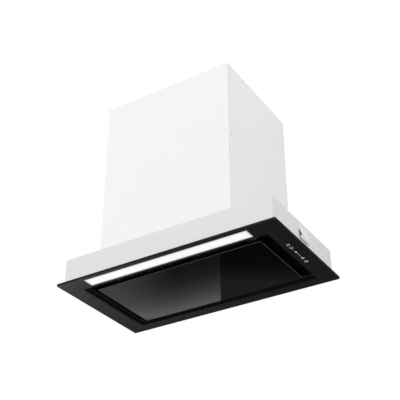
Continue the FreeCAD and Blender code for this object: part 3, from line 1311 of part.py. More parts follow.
def motor_bracket():
    """A ring with three arms that holds the motor's end in the right-hand inlet."""
    x = MOTOR_END
    outer = BUSH_CIRCLE + BUSH_RADIUS
    inner = BUSH_CIRCLE - BUSH_RADIUS
    solids = [tube(outer, inner, (x, FAN_Y, FAN_Z), ALONG_X, BRACKET_SHEET),
              rod(MOTOR_RADIUS - MOTOR_STEP - BRACKET_PAD, (x, FAN_Y, FAN_Z), ALONG_X, BRACKET_SHEET)]
    for arm in range(BRACKET_ARMS):
        bar = block((x, x + BRACKET_SHEET), span(FAN_Y, BRACKET_ARM),
                    (FAN_Z + BRACKET_ARM_ROOT, FAN_Z + inner + BRACKET_ARM_LAP))
        bar.rotate(V(0, FAN_Y, FAN_Z), ALONG_X, 360.0 * arm / BRACKET_ARMS)
        solids.append(bar)
    hole = BEARING_RADIUS + BRACKET_BORE
    bore = rod(hole, (x - OVER, FAN_Y, FAN_Z), ALONG_X, BRACKET_SHEET + 2 * OVER)
    return drilled(joined(solids).cut(bore), motor_screw_places(), SCREW_HOLE)


def motor_bushes():
    bushes = []
    for point, along in motor_screw_places():
        start = (SCROLL_WIDTH / 2, point[1], point[2])
        bushes.append(tube(BUSH_RADIUS, SCREW_HOLE, start, ALONG_X, INLET_LIP))
    return group(bushes)


def motor_screw_length():
    return BRACKET_SHEET + INLET_LIP + SCROLL_WALL


def motor_screws():
    """Longer screws, through the bracket and a bush, into the scroll's side."""
    return group([screw(point, along, motor_screw_length()) for point, along in motor_screw_places()])


def support_rail(y):
    """A folded rail between the upper casing's sides, under the scroll's feet, with a web along its front."""
    x = HOUSING_INNER_X - FIT - HOUSING_SHEET
    front, back = span(y, RAIL_WIDTH)
    fold = RAIL_SHEET + RAIL_BEND
    base = RAIL_Z - RAIL_SHEET
    tab = RAIL_Z + RAIL_TAB
    bed = folded_along_y([(-x, tab), (-x, base), (x, base), (x, tab)], RAIL_SHEET, RAIL_BEND,
                         (front + fold, back))
    web = folded_along_x([(back, RAIL_Z), (front, RAIL_Z), (front, BODY_HEIGHT + HOUSING_SHEET)], RAIL_SHEET,
                         RAIL_BEND, span(0, 2 * (x - fold)))
    return joined([bed, web])


def capacitor():
    """The motor's run capacitor, lying on the back rail beside the scroll, with two push-on tags."""
    y = FAN_Y + RAIL_SPREAD / 2
    z = RAIL_Z + CAPACITOR_RADIUS
    end = -SCROLL_WIDTH / 2 - INLET_LIP - CAPACITOR_GAP
    start = end - CAPACITOR_LENGTH
    solids = [rod(CAPACITOR_RADIUS, (start, y, z), ALONG_X, CAPACITOR_LENGTH),
              block((start + SADDLE_END, end - SADDLE_END), span(y, SADDLE_WIDTH),
                    (RAIL_Z, RAIL_Z + SADDLE_RISE))]
    for tag_y in span(y, TAG_SPREAD):
        solids.append(block((start - TAG_LENGTH, start + OVER), span(tag_y, TAG_SHEET), span(z, TAG_WIDTH)))
    return joined(solids)


# Outlet collar and flaps

def outlet_collar():
    """A round spigot for the duct, with a foot, a ledge for the flaps and bosses for their spindle."""
    stop = COLLAR_BORE - COLLAR_STOP
    foot_z = TOP_Z + COLLAR_FOOT_SHEET
    top = COLLAR_SEAT_Z + COLLAR_HEIGHT
    profile = [(stop, TOP_Z), (COLLAR_FOOT_RADIUS, TOP_Z), (COLLAR_FOOT_RADIUS, foot_z),
               (COLLAR_NECK_RADIUS, foot_z), (COLLAR_NECK_RADIUS, COLLAR_SEAT_Z),
               (COLLAR_RADIUS, COLLAR_SEAT_Z), (COLLAR_RADIUS, top), (COLLAR_BORE, top),
               (COLLAR_BORE, COLLAR_SEAT_Z), (stop, COLLAR_SEAT_Z)]
    radius = SPINDLE_RADIUS + SPINDLE_BOSS_WALL
    inner = COLLAR_BORE - SPINDLE_BOSS
    length = SPINDLE_BOSS + COLLAR_WALL / 2
    above = block((inner, inner + length), span(COLLAR_Y, 2 * radius), (TOP_Z, SPINDLE_Z + radius))
    foot = block((inner, inner + length), span(COLLAR_Y, 2 * radius), (TOP_Z, SPINDLE_Z))
    boss = rod(radius, (inner, COLLAR_Y, SPINDLE_Z), ALONG_X, length).common(above).fuse(foot)
    return joined([turned(profile, COLLAR_Y), boss, mirrored(boss)]).cut(flap_spindle())


def collar_ring():
    """The joggled steel ring that clamps the collar's foot down on the top plate."""
    foot_z = TOP_Z + COLLAR_FOOT_SHEET
    step = RING_STEP_RADIUS
    profile = [(COLLAR_NECK_RADIUS + SLIP, foot_z), (step - RING_SHEET, foot_z), (step - RING_SHEET, TOP_Z),
               (RING_RADIUS, TOP_Z), (RING_RADIUS, TOP_Z + RING_SHEET), (step, TOP_Z + RING_SHEET),
               (step, COLLAR_SEAT_Z), (COLLAR_NECK_RADIUS + SLIP, COLLAR_SEAT_Z)]
    return drilled(turned(profile, COLLAR_Y), collar_screw_places(), SCREW_HOLE)


def spindle_reach():
    return COLLAR_BORE - SPINDLE_END


def flap_spindle():
    return rod(SPINDLE_RADIUS, (-spindle_reach(), COLLAR_Y, SPINDLE_Z), ALONG_X, 2 * spindle_reach())


def flap(side, starts):
    """One half-disc that lies on the collar's ledge and turns up about the spindle, on two knuckles."""
    radius = COLLAR_BORE - FLAP_GAP
    z = (SPINDLE_Z - FLAP / 2, SPINDLE_Z + FLAP / 2)
    gap = KNUCKLE_RADIUS + KNUCKLE_GAP

    def out(near, far):
        return sorted((COLLAR_Y + side * near, COLLAR_Y + side * far))
    disc = rod(radius, (0, COLLAR_Y, z[0]), ALONG_Z, FLAP)
    solids = [disc.common(block((-radius, radius), out(gap, radius), z))]
    for start in starts:
        middle = start + KNUCKLE_LENGTH / 2
        solids.append(rod(KNUCKLE_RADIUS, (start, COLLAR_Y, SPINDLE_Z), ALONG_X, KNUCKLE_LENGTH))
        solids.append(block((start, start + KNUCKLE_LENGTH), out(SPINDLE_RADIUS, gap + KNUCKLE_GAP), z))
        solids.append(block(span(middle, FLAP_RIB_SHEET), out(FLAP_RIB_START, radius - FLAP_RIB_END),
                            (z[0], z[1] + FLAP_RIB)))
    bore = rod(SPINDLE_RADIUS + RUNNING, (-radius, COLLAR_Y, SPINDLE_Z), ALONG_X, 2 * radius)
    return joined(solids).cut(bore)


def knuckle_starts(first):
    pitch = KNUCKLE_LENGTH + KNUCKLE_GAP
    return [-2 * pitch + KNUCKLE_GAP / 2 + first * pitch, KNUCKLE_GAP / 2 + first * pitch]


# Electrics

def control_place():
    x0 = FILTER_WIDTH / 2 + FILTER_GAP + CONTROL_GAP
    x1 = min(x0 + CONTROL_WIDTH, BODY_INNER_X - FIT - TRAY_SHEET - FIT)
    return (x0, x1), span(0, CONTROL_LENGTH), (CEILING_Z, CONTROL_LID_Z - CONTROL_WALL)


def control_box():
    """The plastic box for the supply board, with round corners."""
    x, y, z = control_place()
    wide = x[1] - x[0]
    long = y[1] - y[0]
    shell = slab(wide, long, z, CONTROL_CORNER, sum(x) / 2)
    hollow = slab(wide - 2 * CONTROL_WALL, long - 2 * CONTROL_WALL, (z[0] + CONTROL_WALL, z[1] + OVER),
                  max(CONTROL_CORNER - CONTROL_WALL, 0), sum(x) / 2)
    return shell.cut(hollow)


def control_lid():
    """The box's lid, with a plug that enters the box and a row of vents."""
    x, y, z = control_place()
    middle = sum(x) / 2
    wide = x[1] - x[0]
    long = y[1] - y[0]
    top = z[1] + CONTROL_WALL
    edge = CONTROL_WALL + SLIP
    plate = slab(wide, long, (z[1], top), CONTROL_CORNER, middle)
    plug = slab(wide - 2 * edge, long - 2 * edge, (z[1] - LID_PLUG, z[1]), max(CONTROL_CORNER - edge, 0),
                middle)
    through = (z[1] - LID_PLUG - OVER, top + OVER)
    vents = [block(span(middle, LID_VENT_LENGTH), span(vent_y, LID_VENT_WIDTH), through)
             for vent_y in even(LID_VENTS, *span(0, LID_VENT_SPREAD))]
    return joined([plate, plug]).cut(vents)


def power_board():
    """The supply board in the control box, with its transformer, two relays and a terminal strip."""
    x, y, z = control_place()
    base = z[0] + CONTROL_WALL
    top = base + POWER_BOARD
    lid = z[1] - LID_PLUG
    left = x[0] + CONTROL_WALL + FIT
    right = x[1] - CONTROL_WALL - FIT
    front = y[0] + POWER_BOARD_END
    back = y[1] - POWER_BOARD_END
    part_x = left + PART_EDGE
    part_y = front + PART_EDGE
    relay_y = part_y + TRANSFORMER_SIZE + PART_EDGE
    terminal_y = back - PART_EDGE - TERMINAL_WIDTH
    solids = [block((left, right), (front, back), (base, top)),
              block((part_x, part_x + TRANSFORMER_SIZE), (part_y, part_y + TRANSFORMER_SIZE),
                    (top, lid - TRANSFORMER_ROOM)),
              block((part_x, right - PART_EDGE), (terminal_y, terminal_y + TERMINAL_WIDTH),
                    (top, lid - TERMINAL_ROOM))]
    for start in (relay_y, relay_y + RELAY_PITCH):
        relay = block((part_x, part_x + RELAY_LENGTH), (start, start + RELAY_WIDTH), (top, lid - RELAY_ROOM))
        solids.append(relay)
    return joined(solids)


def led_driver():
    """The lamp supply, a plastic brick with two ears, on the tray's ceiling at the left."""
    x = -(FILTER_WIDTH / 2 + FILTER_GAP + CONTROL_GAP + DRIVER_WIDTH / 2)
    brick = slab(DRIVER_WIDTH, DRIVER_LENGTH, (CEILING_Z, DRIVER_Z), DRIVER_CORNER, x)
    brick = brick.makeChamfer(DRIVER_EDGE, edges_at(brick, DRIVER_Z))
    ear_z = (CEILING_Z, CEILING_Z + DRIVER_EAR_SHEET)
    ears = [slab(DRIVER_EAR_WIDTH, 2 * DRIVER_EAR, ear_z, DRIVER_EAR_CORNER, x, end)
            for end in span(0, DRIVER_LENGTH)]
    return joined([brick] + ears)


def cable_gland():
    """The mains inlet on the deck: a flanged bush with a six-sided clamping cap."""
    x, y = gland_place()
    base = BODY_HEIGHT
    neck = rod(GLAND_RADIUS, (x, y, DECK_Z - GLAND_NUT), ALONG_Z, DECK_SHEET + GLAND_NUT)
    flange = rod(GLAND_FLANGE, (x, y, base), ALONG_Z, GLAND_FLANGE_SHEET)
    cap = hexagon(2 * GLAND_RADIUS, GLAND_HEIGHT)
    cap.translate(V(x, y, base))
    bore = rod(GLAND_BORE, (x, y, DECK_Z - 2 * GLAND_NUT), ALONG_Z, 4 * GLAND_HEIGHT)
    return joined([neck, flange, cap]).cut(bore)


def gland_nut():
    x, y = gland_place()
    start = (x, y, DECK_Z - GLAND_NUT)
    return tube(GLAND_FLANGE - GLAND_NUT_STEP, GLAND_RADIUS + RUNNING, start, ALONG_Z, GLAND_NUT)


def parts():
    """Every node of the hood with its shape."""
    left, right = scroll_halves()
    casing_screws = foot_screw_places() + cover_screw_places() + lid_screw_places()
    return {
        "fascia_frame": fascia_frame(),
        "light_diffuser": light_diffuser(),
        "light_channel": light_channel(),
        "led_board": led_board(),
        "touch_window": touch_window(),
        "touch_board": touch_board(),
        "touch_cover": touch_cover(),
        "panel_glass": panel_glass(),
        "panel_carrier": panel_carrier(),
        "panel_strikers": group([panel_striker(), mirrored(panel_striker())]),
        "hinge_arms": group([hinge_arm(), mirrored(hinge_arm())]),
        "hinge_bracket_right": hinge_bracket(),
        "hinge_bracket_left": mirrored(hinge_bracket()),
        "hinge_pins": group([hinge_pin(), mirrored(hinge_pin())]),
        "catch_brackets": group([catch_bracket(), mirrored(catch_bracket())]),
        "catch_magnets": group([catch_magnet(), mirrored(catch_magnet())]),
        "seat_frame": seat_frame(),
        "body_shell": body_shell(),
        "suction_tray": suction_tray(),
        "deck_plate": deck_plate(),
        "side_clip_right": side_clip(),
        "side_clip_left": mirrored(side_clip()),
        "clip_rivets": clip_rivets(),
        "filter_frame": filter_frame(),
        "filter_mesh": filter_mesh(),
        "latch_guide": latch_guide(),
        "filter_latch": filter_latch(),
        "latch_spring": latch_spring(),
        "latch_keeper": latch_keeper(),
        "housing_wrap": housing_wrap(),
        "housing_front": housing_front(),
        "housing_top": housing_top(),
        "scroll_left": left,
        "scroll_right": right,
        "outlet_duct": outlet_duct(),
        "impeller": impeller(),
        "motor_shaft": motor_shaft(),
        "fan_nut": fan_nut(),
        "motor_can": motor_can(),
        "motor_bearings": motor_bearings(),
        "motor_stator": motor_stator(),
        "motor_rotor": motor_rotor(),
        "motor_bracket": motor_bracket(),
        "motor_bushes": motor_bushes(),
        "motor_screws": motor_screws(),
        "support_rails": group([support_rail(y) for y in span(FAN_Y, RAIL_SPREAD)]),
        "capacitor": capacitor(),
        "outlet_collar": outlet_collar(),
        "collar_ring": collar_ring(),
        "flap_spindle": flap_spindle(),
        "flap_front": flap(-1, knuckle_starts(0)),
        "flap_back": flap(1, knuckle_starts(1)),
        "control_box": control_box(),
        "control_lid": control_lid(),
        "power_board": power_board(),
        "led_driver": led_driver(),
        "cable_gland": cable_gland(),
        "gland_nut": gland_nut(),
        "fascia_screws": group([screw(point, along) for point, along in fascia_screw_places()]),
        "casing_screws": group([screw(p, along) for p, along in casing_screws + deck_screw_places()
                                + collar_screw_places() + rim_screw_places()]),
    }


def main():
    os.makedirs("parts", exist_ok=True)
    for name, shape in parts().items():
        shape.exportStep(os.path.join("parts", name + ".step"))
        state = "valid" if shape.isValid() else "INVALID"
        print(name, len(shape.Solids), state, round(shape.Volume / 1000, 1), "cm3")


if __name__ == "__main__":
    main()
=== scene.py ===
import json
import math

import bmesh
import bpy
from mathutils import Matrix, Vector


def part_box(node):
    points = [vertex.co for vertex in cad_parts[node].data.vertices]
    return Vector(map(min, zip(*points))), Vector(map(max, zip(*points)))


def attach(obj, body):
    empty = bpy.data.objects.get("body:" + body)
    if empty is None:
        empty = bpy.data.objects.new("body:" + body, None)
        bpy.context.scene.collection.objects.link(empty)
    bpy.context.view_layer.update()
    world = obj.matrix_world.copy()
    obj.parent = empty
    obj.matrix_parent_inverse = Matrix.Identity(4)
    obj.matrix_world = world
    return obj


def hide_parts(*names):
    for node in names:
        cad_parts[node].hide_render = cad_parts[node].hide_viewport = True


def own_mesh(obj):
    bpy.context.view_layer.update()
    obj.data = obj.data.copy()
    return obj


# A built-in range hood, dressed for a studio picture: black fascia, glass suction panel, lit strip and touch
# signs, under a pale steel casing. Metres. X runs to the right, Y to the back and Z up.

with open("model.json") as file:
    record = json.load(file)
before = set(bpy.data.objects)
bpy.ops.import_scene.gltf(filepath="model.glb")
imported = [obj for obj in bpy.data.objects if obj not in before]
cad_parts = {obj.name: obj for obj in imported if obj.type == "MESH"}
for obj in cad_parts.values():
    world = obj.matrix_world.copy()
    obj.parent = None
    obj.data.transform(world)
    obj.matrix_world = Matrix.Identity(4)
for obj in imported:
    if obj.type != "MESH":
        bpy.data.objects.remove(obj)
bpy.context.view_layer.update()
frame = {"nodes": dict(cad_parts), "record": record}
NODES = frame["nodes"]
MM = 0.001
WELD = 0.001 * MM            # corners of a CAD mesh nearer than this are one
WHITE = (1, 1, 1, 1)
QUARTER_TURN = math.pi / 2


# Node trees

class Signal:
    """A value, colour or vector on its way through a node tree."""

    def __init__(self, tree, socket):
        self.tree = tree
        self.socket = socket

    def step(self, operation, first, second=0.0):
        return self.tree.node("ShaderNodeMath", {"operation": operation}, {0: first, 1: second})

    def __add__(self, other):
        return self.step("ADD", self, other)

    def __sub__(self, other):
        return self.step("SUBTRACT", self, other)

    def __rsub__(self, other):
        return self.step("SUBTRACT", other, self)

    def __mul__(self, other):
        return self.step("MULTIPLY", self, other)

    def __truediv__(self, other):
        return self.step("DIVIDE", self, other)

    def __rtruediv__(self, other):
        return self.step("DIVIDE", other, self)

    def __pow__(self, other):
        return self.step("POWER", self, other)

    def __mod__(self, other):
        return self.step("FLOORED_MODULO", self, other)

    def __gt__(self, other):
        return self.step("GREATER_THAN", self, other)

    def __lt__(self, other):
        return self.step("LESS_THAN", self, other)

    def __abs__(self):
        return self.step("ABSOLUTE", self)

    __radd__ = __add__
    __rmul__ = __mul__

    def whole(self):
        return self.step("FLOOR", self)

    def least(self, other):
        return self.step("MINIMUM", self, other)

    def most(self, other):
        return self.step("MAXIMUM", self, other)

    def rise(self, low, high):
        """0 below a low value, 1 above a high one, smooth between."""
        return self.tree.node("ShaderNodeMapRange", {"interpolation_type": "SMOOTHSTEP"},
                              {"Value": self, "From Min": low, "From Max": high})


class Tree:
    """A node tree being built; node() makes any node."""

    def __init__(self, tree):
        self.tree = tree

    def node(self, kind, settings=None, sockets=None, output=0):
        """Makes a node, sets it, feeds its sockets and gives one of its outputs."""
        made = self.tree.nodes.new(kind)
        for name, value in (settings or {}).items():
            setattr(made, name, value)
        for name, value in (sockets or {}).items():
            self.feed(made.inputs[name], value)
        return Signal(self, made.outputs[output])

    def feed(self, socket, value):
        """Links a signal to a socket, or writes a plain value on it."""
        if isinstance(value, Signal):
            self.tree.links.new(value.socket, socket)
        else:
            socket.default_value = value

    def split(self, vector):
        """A vector's three parts."""
        made = self.node("ShaderNodeSeparateXYZ", None, {0: vector}).socket.node
        return [Signal(self, out) for out in made.outputs]


class Finish(Tree):
    """A material whose patterns lie in the part's own metres."""

    WAVE_STEP = 0.314        # between the wave texture's lines at a scale of 1

    def __init__(self, name, metal=0.0, rough=0.5, **constants):
        self.material = bpy.data.materials.new(name)
        self.material.use_nodes = True
        super().__init__(self.material.node_tree)
        self.shader = self.tree.nodes["Principled BSDF"]
        self.place = self.node("ShaderNodeTexCoord", output="Object")
        self.put("Metallic", metal)
        self.put("Roughness", rough)
        for socket, value in constants.items():
            self.put(socket.replace("_", " "), value)

    def put(self, name, value):
        self.feed(self.shader.inputs[name], value)

    def surface(self, shader):
        """Shows another shader in place of the plain one."""
        self.feed(self.tree.nodes["Material Output"].inputs["Surface"], shader)

    def glow(self, strength):
        return self.node("ShaderNodeEmission", None, {"Color": WHITE, "Strength": strength})

    def axes(self):
        return self.split(self.place)

    def noise(self, size, detail=2.0, stretch=(1, 1, 1), lean=0.5):
        place = self.node("ShaderNodeMapping", None, {"Vector": self.place, "Scale": stretch})
        return self.node("ShaderNodeTexNoise", None,
                         {"Vector": place, "Scale": 1 / size, "Detail": detail, "Roughness": lean})

    def cells(self, size, output="Distance"):
        return self.node("ShaderNodeTexVoronoi", None, {"Vector": self.place, "Scale": 1 / size}, output)

    def lines(self, size, axis, wander=0.0):
        return self.node("ShaderNodeTexWave", {"bands_direction": axis},
                         {"Vector": self.place, "Scale": self.WAVE_STEP / size, "Distortion": wander})

    def mixed(self, factor, first, second):
        """A colour between two. Sockets 6 and 7 are the node's colours, and output 2 is its colour."""
        colours = [c if isinstance(c, Signal) else (*c, 1.0) for c in (first, second)]
        return self.node("ShaderNodeMix", {"data_type": "RGBA"}, {0: factor, 6: colours[0], 7: colours[1]}, 2)

    def relief(self, height, depth):
        bump = self.node("ShaderNodeBump", None, {"Height": height, "Distance": depth, "Strength": 1.0})
        self.put("Normal", bump)


def mesh_tree(name):
    """A Geometry Nodes tree that takes a mesh and gives one."""
    group = bpy.data.node_groups.new(name, "GeometryNodeTree")
    for way in ("INPUT", "OUTPUT"):
        group.interface.new_socket("Geometry", in_out=way, socket_type="NodeSocketGeometry")
    return group


class Pattern(Tree):
    """A Geometry Nodes tree with named sizes, which ends as one plain mesh."""

    def __init__(self, name, finish, **sizes):
        group = mesh_tree(name)
        super().__init__(group)
        self.finish = finish
        self.values = sizes
        for size, value in sizes.items():
            kind = "NodeSocketInt" if isinstance(value, int) else "NodeSocketFloat"
            group.interface.new_socket(size, in_out="INPUT", socket_type=kind)
        given = group.nodes.new("NodeGroupInput")
        self.base = Signal(self, given.outputs[0])
        self.size = {size: Signal(self, given.outputs[size]) for size in sizes}

    def vector(self, x=0.0, y=0.0, z=0.0):
        return self.node("ShaderNodeCombineXYZ", None, {0: x, 1: y, 2: z})

    def attribute(self, name):
        return self.node("GeometryNodeInputNamedAttribute", {"data_type": "FLOAT_VECTOR"}, {"Name": name})

    def odd(self):
        """1 at every second point, 0 at the others."""
        return self.node("GeometryNodeInputIndex") % 2.0

    def moved(self, shape, place=(0, 0, 0), turn=(0, 0, 0), scale=(1, 1, 1)):
        return self.node("GeometryNodeTransform", None,
                         {0: shape, "Translation": place, "Rotation": turn, "Scale": scale})

    def shifted(self, points, offset):
        """Moves each point by its own offset."""
        return self.node("GeometryNodeSetPosition", None, {"Geometry": points, "Offset": offset})

    def joined(self, *shapes):
        made = self.tree.nodes.new("GeometryNodeJoinGeometry")
        for shape in reversed(shapes):
            self.tree.links.new(shape.socket, made.inputs[0])
        return Signal(self, made.outputs[0])

    def cut(self, shape, tool):
        return self.node("GeometryNodeMeshBoolean", {"operation": "DIFFERENCE", "solver": "EXACT"},
                         {0: shape, 1: tool})

    def row(self, count, start, step):
        """Points in a straight row."""
        return self.node("GeometryNodeMeshLine", {"mode": "OFFSET"},
                         {"Count": count, "Start Location": start, "Offset": step})

    def zigzag(self, bends, step, across, up=0.0):
        """A path along X, centred, which goes to and fro across it and up and down."""
        line = self.row(bends + 1, self.vector(bends * step * -0.5), self.vector(step))
        side = self.odd() - 0.5
        bent = self.shifted(line, self.vector(0.0, side * across, side * up))
        return self.node("GeometryNodeMeshToCurve", None, {0: bent})

    def at(self, points, shape, **sockets):
        """A shape at each point, with a Rotation or Scale where it is given."""
        return self.node("GeometryNodeInstanceOnPoints", None,
                         {"Points": points, "Instance": shape, **sockets})

    def swept(self, path, profile):
        return self.node("GeometryNodeCurveToMesh", None,
                         {"Curve": path, "Profile Curve": profile, "Fill Caps": True})

    def drum(self, sides, radius, depth):
        return self.node("GeometryNodeMeshCylinder", None,
                         {"Vertices": sides, "Radius": radius, "Depth": depth})

    def ball(self, sides, rings, radius):
        return self.node("GeometryNodeMeshUVSphere", None,
                         {"Segments": sides, "Rings": rings, "Radius": radius})

    def ring(self, sides, radius):
        return self.node("GeometryNodeCurvePrimitiveCircle", None, {"Resolution": sides, "Radius": radius})

    def flat(self, width, height):
        return self.node("GeometryNodeCurvePrimitiveQuadrilateral", {"mode": "RECTANGLE"},
                         {"Width": width, "Height": height})

    def piece(self, shape, body, slot, replaces=(), places=None):
        """Ends the tree, makes its result a plain mesh and lets it ride on its body."""
        real = self.node("GeometryNodeRealizeInstances", None, {0: shape})
        done = self.node("GeometryNodeSetMaterial", None, {0: real, "Material": self.finish})
        self.feed(self.tree.nodes.new("NodeGroupOutput").inputs[0], done)
        made = bpy.data.objects.new(self.tree.name, places or bpy.data.meshes.new(self.tree.name))
        bpy.context.scene.collection.objects.link(made)
        pattern = made.modifiers.new("pattern", "NODES")
        pattern.node_group = self.tree
        for item in self.tree.interface.items_tree:
            if item.in_out == "INPUT" and item.name in self.values:
                pattern[item.identifier] = self.values[item.name]
        seen = made.evaluated_get(bpy.context.evaluated_depsgraph_get())
        plain = bpy.data.meshes.new_from_object(seen)
        made.modifiers.clear()
        made.data = plain
        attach(made, body)
        if replaces:
            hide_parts(*replaces)
        return made


# Measures that finishes need

def find_lamp_pitch():
    """Pitch of the lamps, from the left and right sides that the lamp board's lowest corners show."""
    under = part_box("led_board")[0].z + 0.01 * MM
    sides = sorted({round(v.co.x, 5) for v in NODES["led_board"].data.vertices if v.co.z < under})
    return (sides[-2] - sides[0]) / (len(sides) / 2 - 1)


LAMP_PITCH = find_lamp_pitch()


def from_lamp(x):
    """How far along the strip the nearest lamp is, as a share of the pitch."""
    return abs((x / LAMP_PITCH + 0.5) % 1.0 - 0.5)


def from_edge(x, y, node):
    """How far inside a node's outline a point lies, seen from below."""
    low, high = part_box(node)
    middle = (low + high) / 2
    half = (high - low) / 2
    return (half.x - abs(x - middle.x)).least(half.y - abs(y - middle.y))


# Finishes

def satin_black_coat():
    """Black powder coat: fine orange peel, a slightly cloudy sheen, a painted highlight along its outer edges
    and painted light on the inner faces of its rim.
    """
    f = Finish("satin_black_coat")
    low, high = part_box("fascia_frame")
    x, y, z = f.axes()
    peel = f.noise(2.2 * MM, 3.0)
    grit = f.noise(0.5 * MM, 1.0)
    cloud = f.noise(90 * MM, 3.0)
    edge = from_edge(x, y, "fascia_frame")
    # painted highlight: the outer edges turn a little lighter, in patches, in place of light catching them
    painted_edge_highlight = (1 - edge.rise(0.2 * MM, 1.4 * MM)) * f.noise(4 * MM).rise(0.45, 0.7)
    inner = edge > 10 * MM
    # painted light: the inner faces of the rim are made a little lighter than the black, in place of light
    # reaching them
    rim = inner * z.rise(low.z + 2 * MM, low.z + 6 * MM)
    cut_edge = inner * z.rise(high.z - 2.2 * MM, high.z - 1.4 * MM)
    black = f.mixed(cloud * 0.6 + grit * 0.4, (0.0085, 0.0085, 0.009), (0.0135, 0.0135, 0.0145))
    coat = f.mixed(rim, black, (0.016, 0.016, 0.017))
    f.put("Base Color", f.mixed(painted_edge_highlight * 0.1 + cut_edge * 0.6, coat, (0.15, 0.15, 0.152)))
    f.put("Roughness", 0.25 + cloud * 0.06 + grit * 0.05)
    f.relief(peel * 0.8 + grit * 0.2, 0.012 * MM)
    return f.material


def black_glass():
    """Black glass: a clean polish with faint wiping marks, and a frosted edge all round from grinding, whose
    pale colour is also a painted highlight along the edge.
    """
    f = Finish("black_glass", IOR=1.5)
    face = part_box("panel_glass")[0].z
    x, y, z = f.axes()
    edge = from_edge(x, y, "panel_glass")
    # the frosted edge from grinding is real; its pale colour also stands in as a painted highlight along the
    # glass's edge
    ground_edge_and_painted_highlight = (1 - edge.rise(0.42 * MM, 0.58 * MM)) * (1 - z.rise(face + 1.0 * MM, face + 1.3 * MM))
    wipe = f.noise(50 * MM, 4.0, (0.25, 1.0, 1.0), 0.6).rise(0.45, 0.8)
    haze = f.noise(120 * MM, 3.0)
    black = f.mixed(haze, (0.0026, 0.0026, 0.0028), (0.0042, 0.0042, 0.0046))
    f.put("Base Color", f.mixed(ground_edge_and_painted_highlight, black, (0.085, 0.0865, 0.089)))
    f.put("Roughness", 0.018 + wipe * 0.03 + ground_edge_and_painted_highlight * 0.4)
    return f.material


def opal_strip():
    """Opal acrylic with lamps behind it, a touch brighter over each lamp."""
    f = Finish("opal_strip", rough=0.3, Emission_Strength=0.66)
    x, y, _ = f.axes()
    inset = from_edge(x, y, "light_diffuser")
    near_lamp = 1 - from_lamp(x).rise(0.05, 0.5)
    lit = f.mixed(near_lamp, (0.93, 0.95, 0.97), (1.0, 1.0, 1.0))
    f.put("Base Color", f.mixed(f.noise(20 * MM), (0.46, 0.46, 0.455), (0.5, 0.5, 0.5)))
    f.put("Emission Color", f.mixed(inset.rise(2.5 * MM, 8.5 * MM), (0.05, 0.051, 0.052), lit))
    f.relief(f.noise(0.6 * MM, 1.0), 0.01 * MM)
    return f.material


def mill_aluminium():
    """Extruded and rolled aluminium, with drawn lines along its length."""
    f = Finish("mill_aluminium", metal=1.0)
    drawn = f.noise(1.2 * MM, 3.0, (0.02, 1.0, 1.0))
    cloud = f.noise(30 * MM)
    f.put("Base Color", f.mixed(drawn * 0.7 + cloud * 0.3, (0.62, 0.63, 0.645), (0.80, 0.81, 0.82)))
    f.put("Roughness", 0.27 + drawn * 0.16)
    f.relief(drawn, 0.015 * MM)
    return f.material


def washed_aluminium():
    """Aluminium that has been through the wash: a matt pale oxide with brighter rubbed patches."""
    f = Finish("washed_aluminium")
    oxide = f.noise(12 * MM, 4.0, lean=0.6)
    grain = f.noise(0.9 * MM)
    rubbed = oxide.rise(0.52, 0.72)
    f.put("Base Color", f.mixed(oxide * 0.6 + grain * 0.4, (0.60, 0.605, 0.61), (0.78, 0.785, 0.79)))
    f.put("Metallic", 0.38 + rubbed * 0.3)
    f.put("Roughness", 0.5 - rubbed * 0.14 + grain * 0.08)
    f.relief(grain, 0.01 * MM)
    return f.material


def lamp_board():
    """White lamp board with tinned pads and yellow lamps."""
    f = Finish("lamp_board")
    low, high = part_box("led_board")
    x, y, z = f.axes()
    along = from_lamp(x) * LAMP_PITCH
    across = abs(y - (low.y + high.y) / 2)
    lamp = z < low.z + 0.7 * MM
    pad = (along < 2.8 * MM) * (across < 2.8 * MM) * (along > 1.2 * MM)
    white = f.mixed(f.noise(10 * MM), (0.74, 0.745, 0.73), (0.82, 0.82, 0.81))
    tinned = f.mixed(pad, white, (0.55, 0.55, 0.53))
    f.put("Base Color", f.mixed(lamp, tinned, (0.86, 0.66, 0.16)))
    f.put("Roughness", 0.5 - pad * 0.2 + f.noise(2 * MM, 1.0) * 0.1)
    return f.material


def green_board():
    """Green circuit board with copper tracks, and dark or amber parts that stand on it."""
    f = Finish("green_board")
    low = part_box("power_board")[0]
    _, y, z = f.axes()
    tall = z > low.z + 1.7 * MM
    amber = y < low.y + 31 * MM
    track = f.node("ShaderNodeTexVoronoi", {"distance": "CHEBYCHEV"},
                   {"Vector": f.place, "Scale": 1 / (6 * MM), "Randomness": 0.6})
    copper = 1 - abs(track - 0.33).rise(0.015, 0.045)
    resist = f.mixed(f.noise(4 * MM), (0.010, 0.085, 0.030), (0.018, 0.125, 0.045))
    board = f.mixed(copper * 0.7, resist, (0.05, 0.21, 0.075))
    parts = f.mixed(amber, (0.03, 0.05, 0.11), (0.42, 0.27, 0.05))
    f.put("Base Color", f.mixed(tall, board, parts))
    f.put("Roughness", 0.32 + tall * 0.16 + f.noise(1 * MM, 1.0) * 0.1)
    f.relief(copper * (1 - tall), 0.03 * MM)
    return f.material


def moulded(name, dark, light, grain=0.9 * MM, rough=0.5):
    """A moulded plastic: a fine spark-eroded grain and slow flow clouds."""
    f = Finish(name)
    pits = f.cells(grain)
    flow = f.noise(30 * MM, 3.0)
    f.put("Base Color", f.mixed(flow * 0.7 + pits * 0.3, dark, light))
    f.put("Roughness", rough + flow * 0.08 + pits * 0.08)
    f.relief(pits, 0.03 * MM)
    return f.material


def dipped_steel(name, dark, light, rough=0.32):
    """Thin black dip coat on pressed steel: soft runs and dust nibs."""
    f = Finish(name)
    run = f.noise(20 * MM, 3.0, (1.0, 1.0, 0.35))
    nib = 1 - f.cells(6 * MM).rise(0.0, 0.07)
    f.put("Base Color", f.mixed(run, dark, light))
    f.put("Roughness", rough + run * 0.16 + nib * 0.1)
    f.relief(run * 0.6 + nib * 0.4, 0.04 * MM)
    return f.material


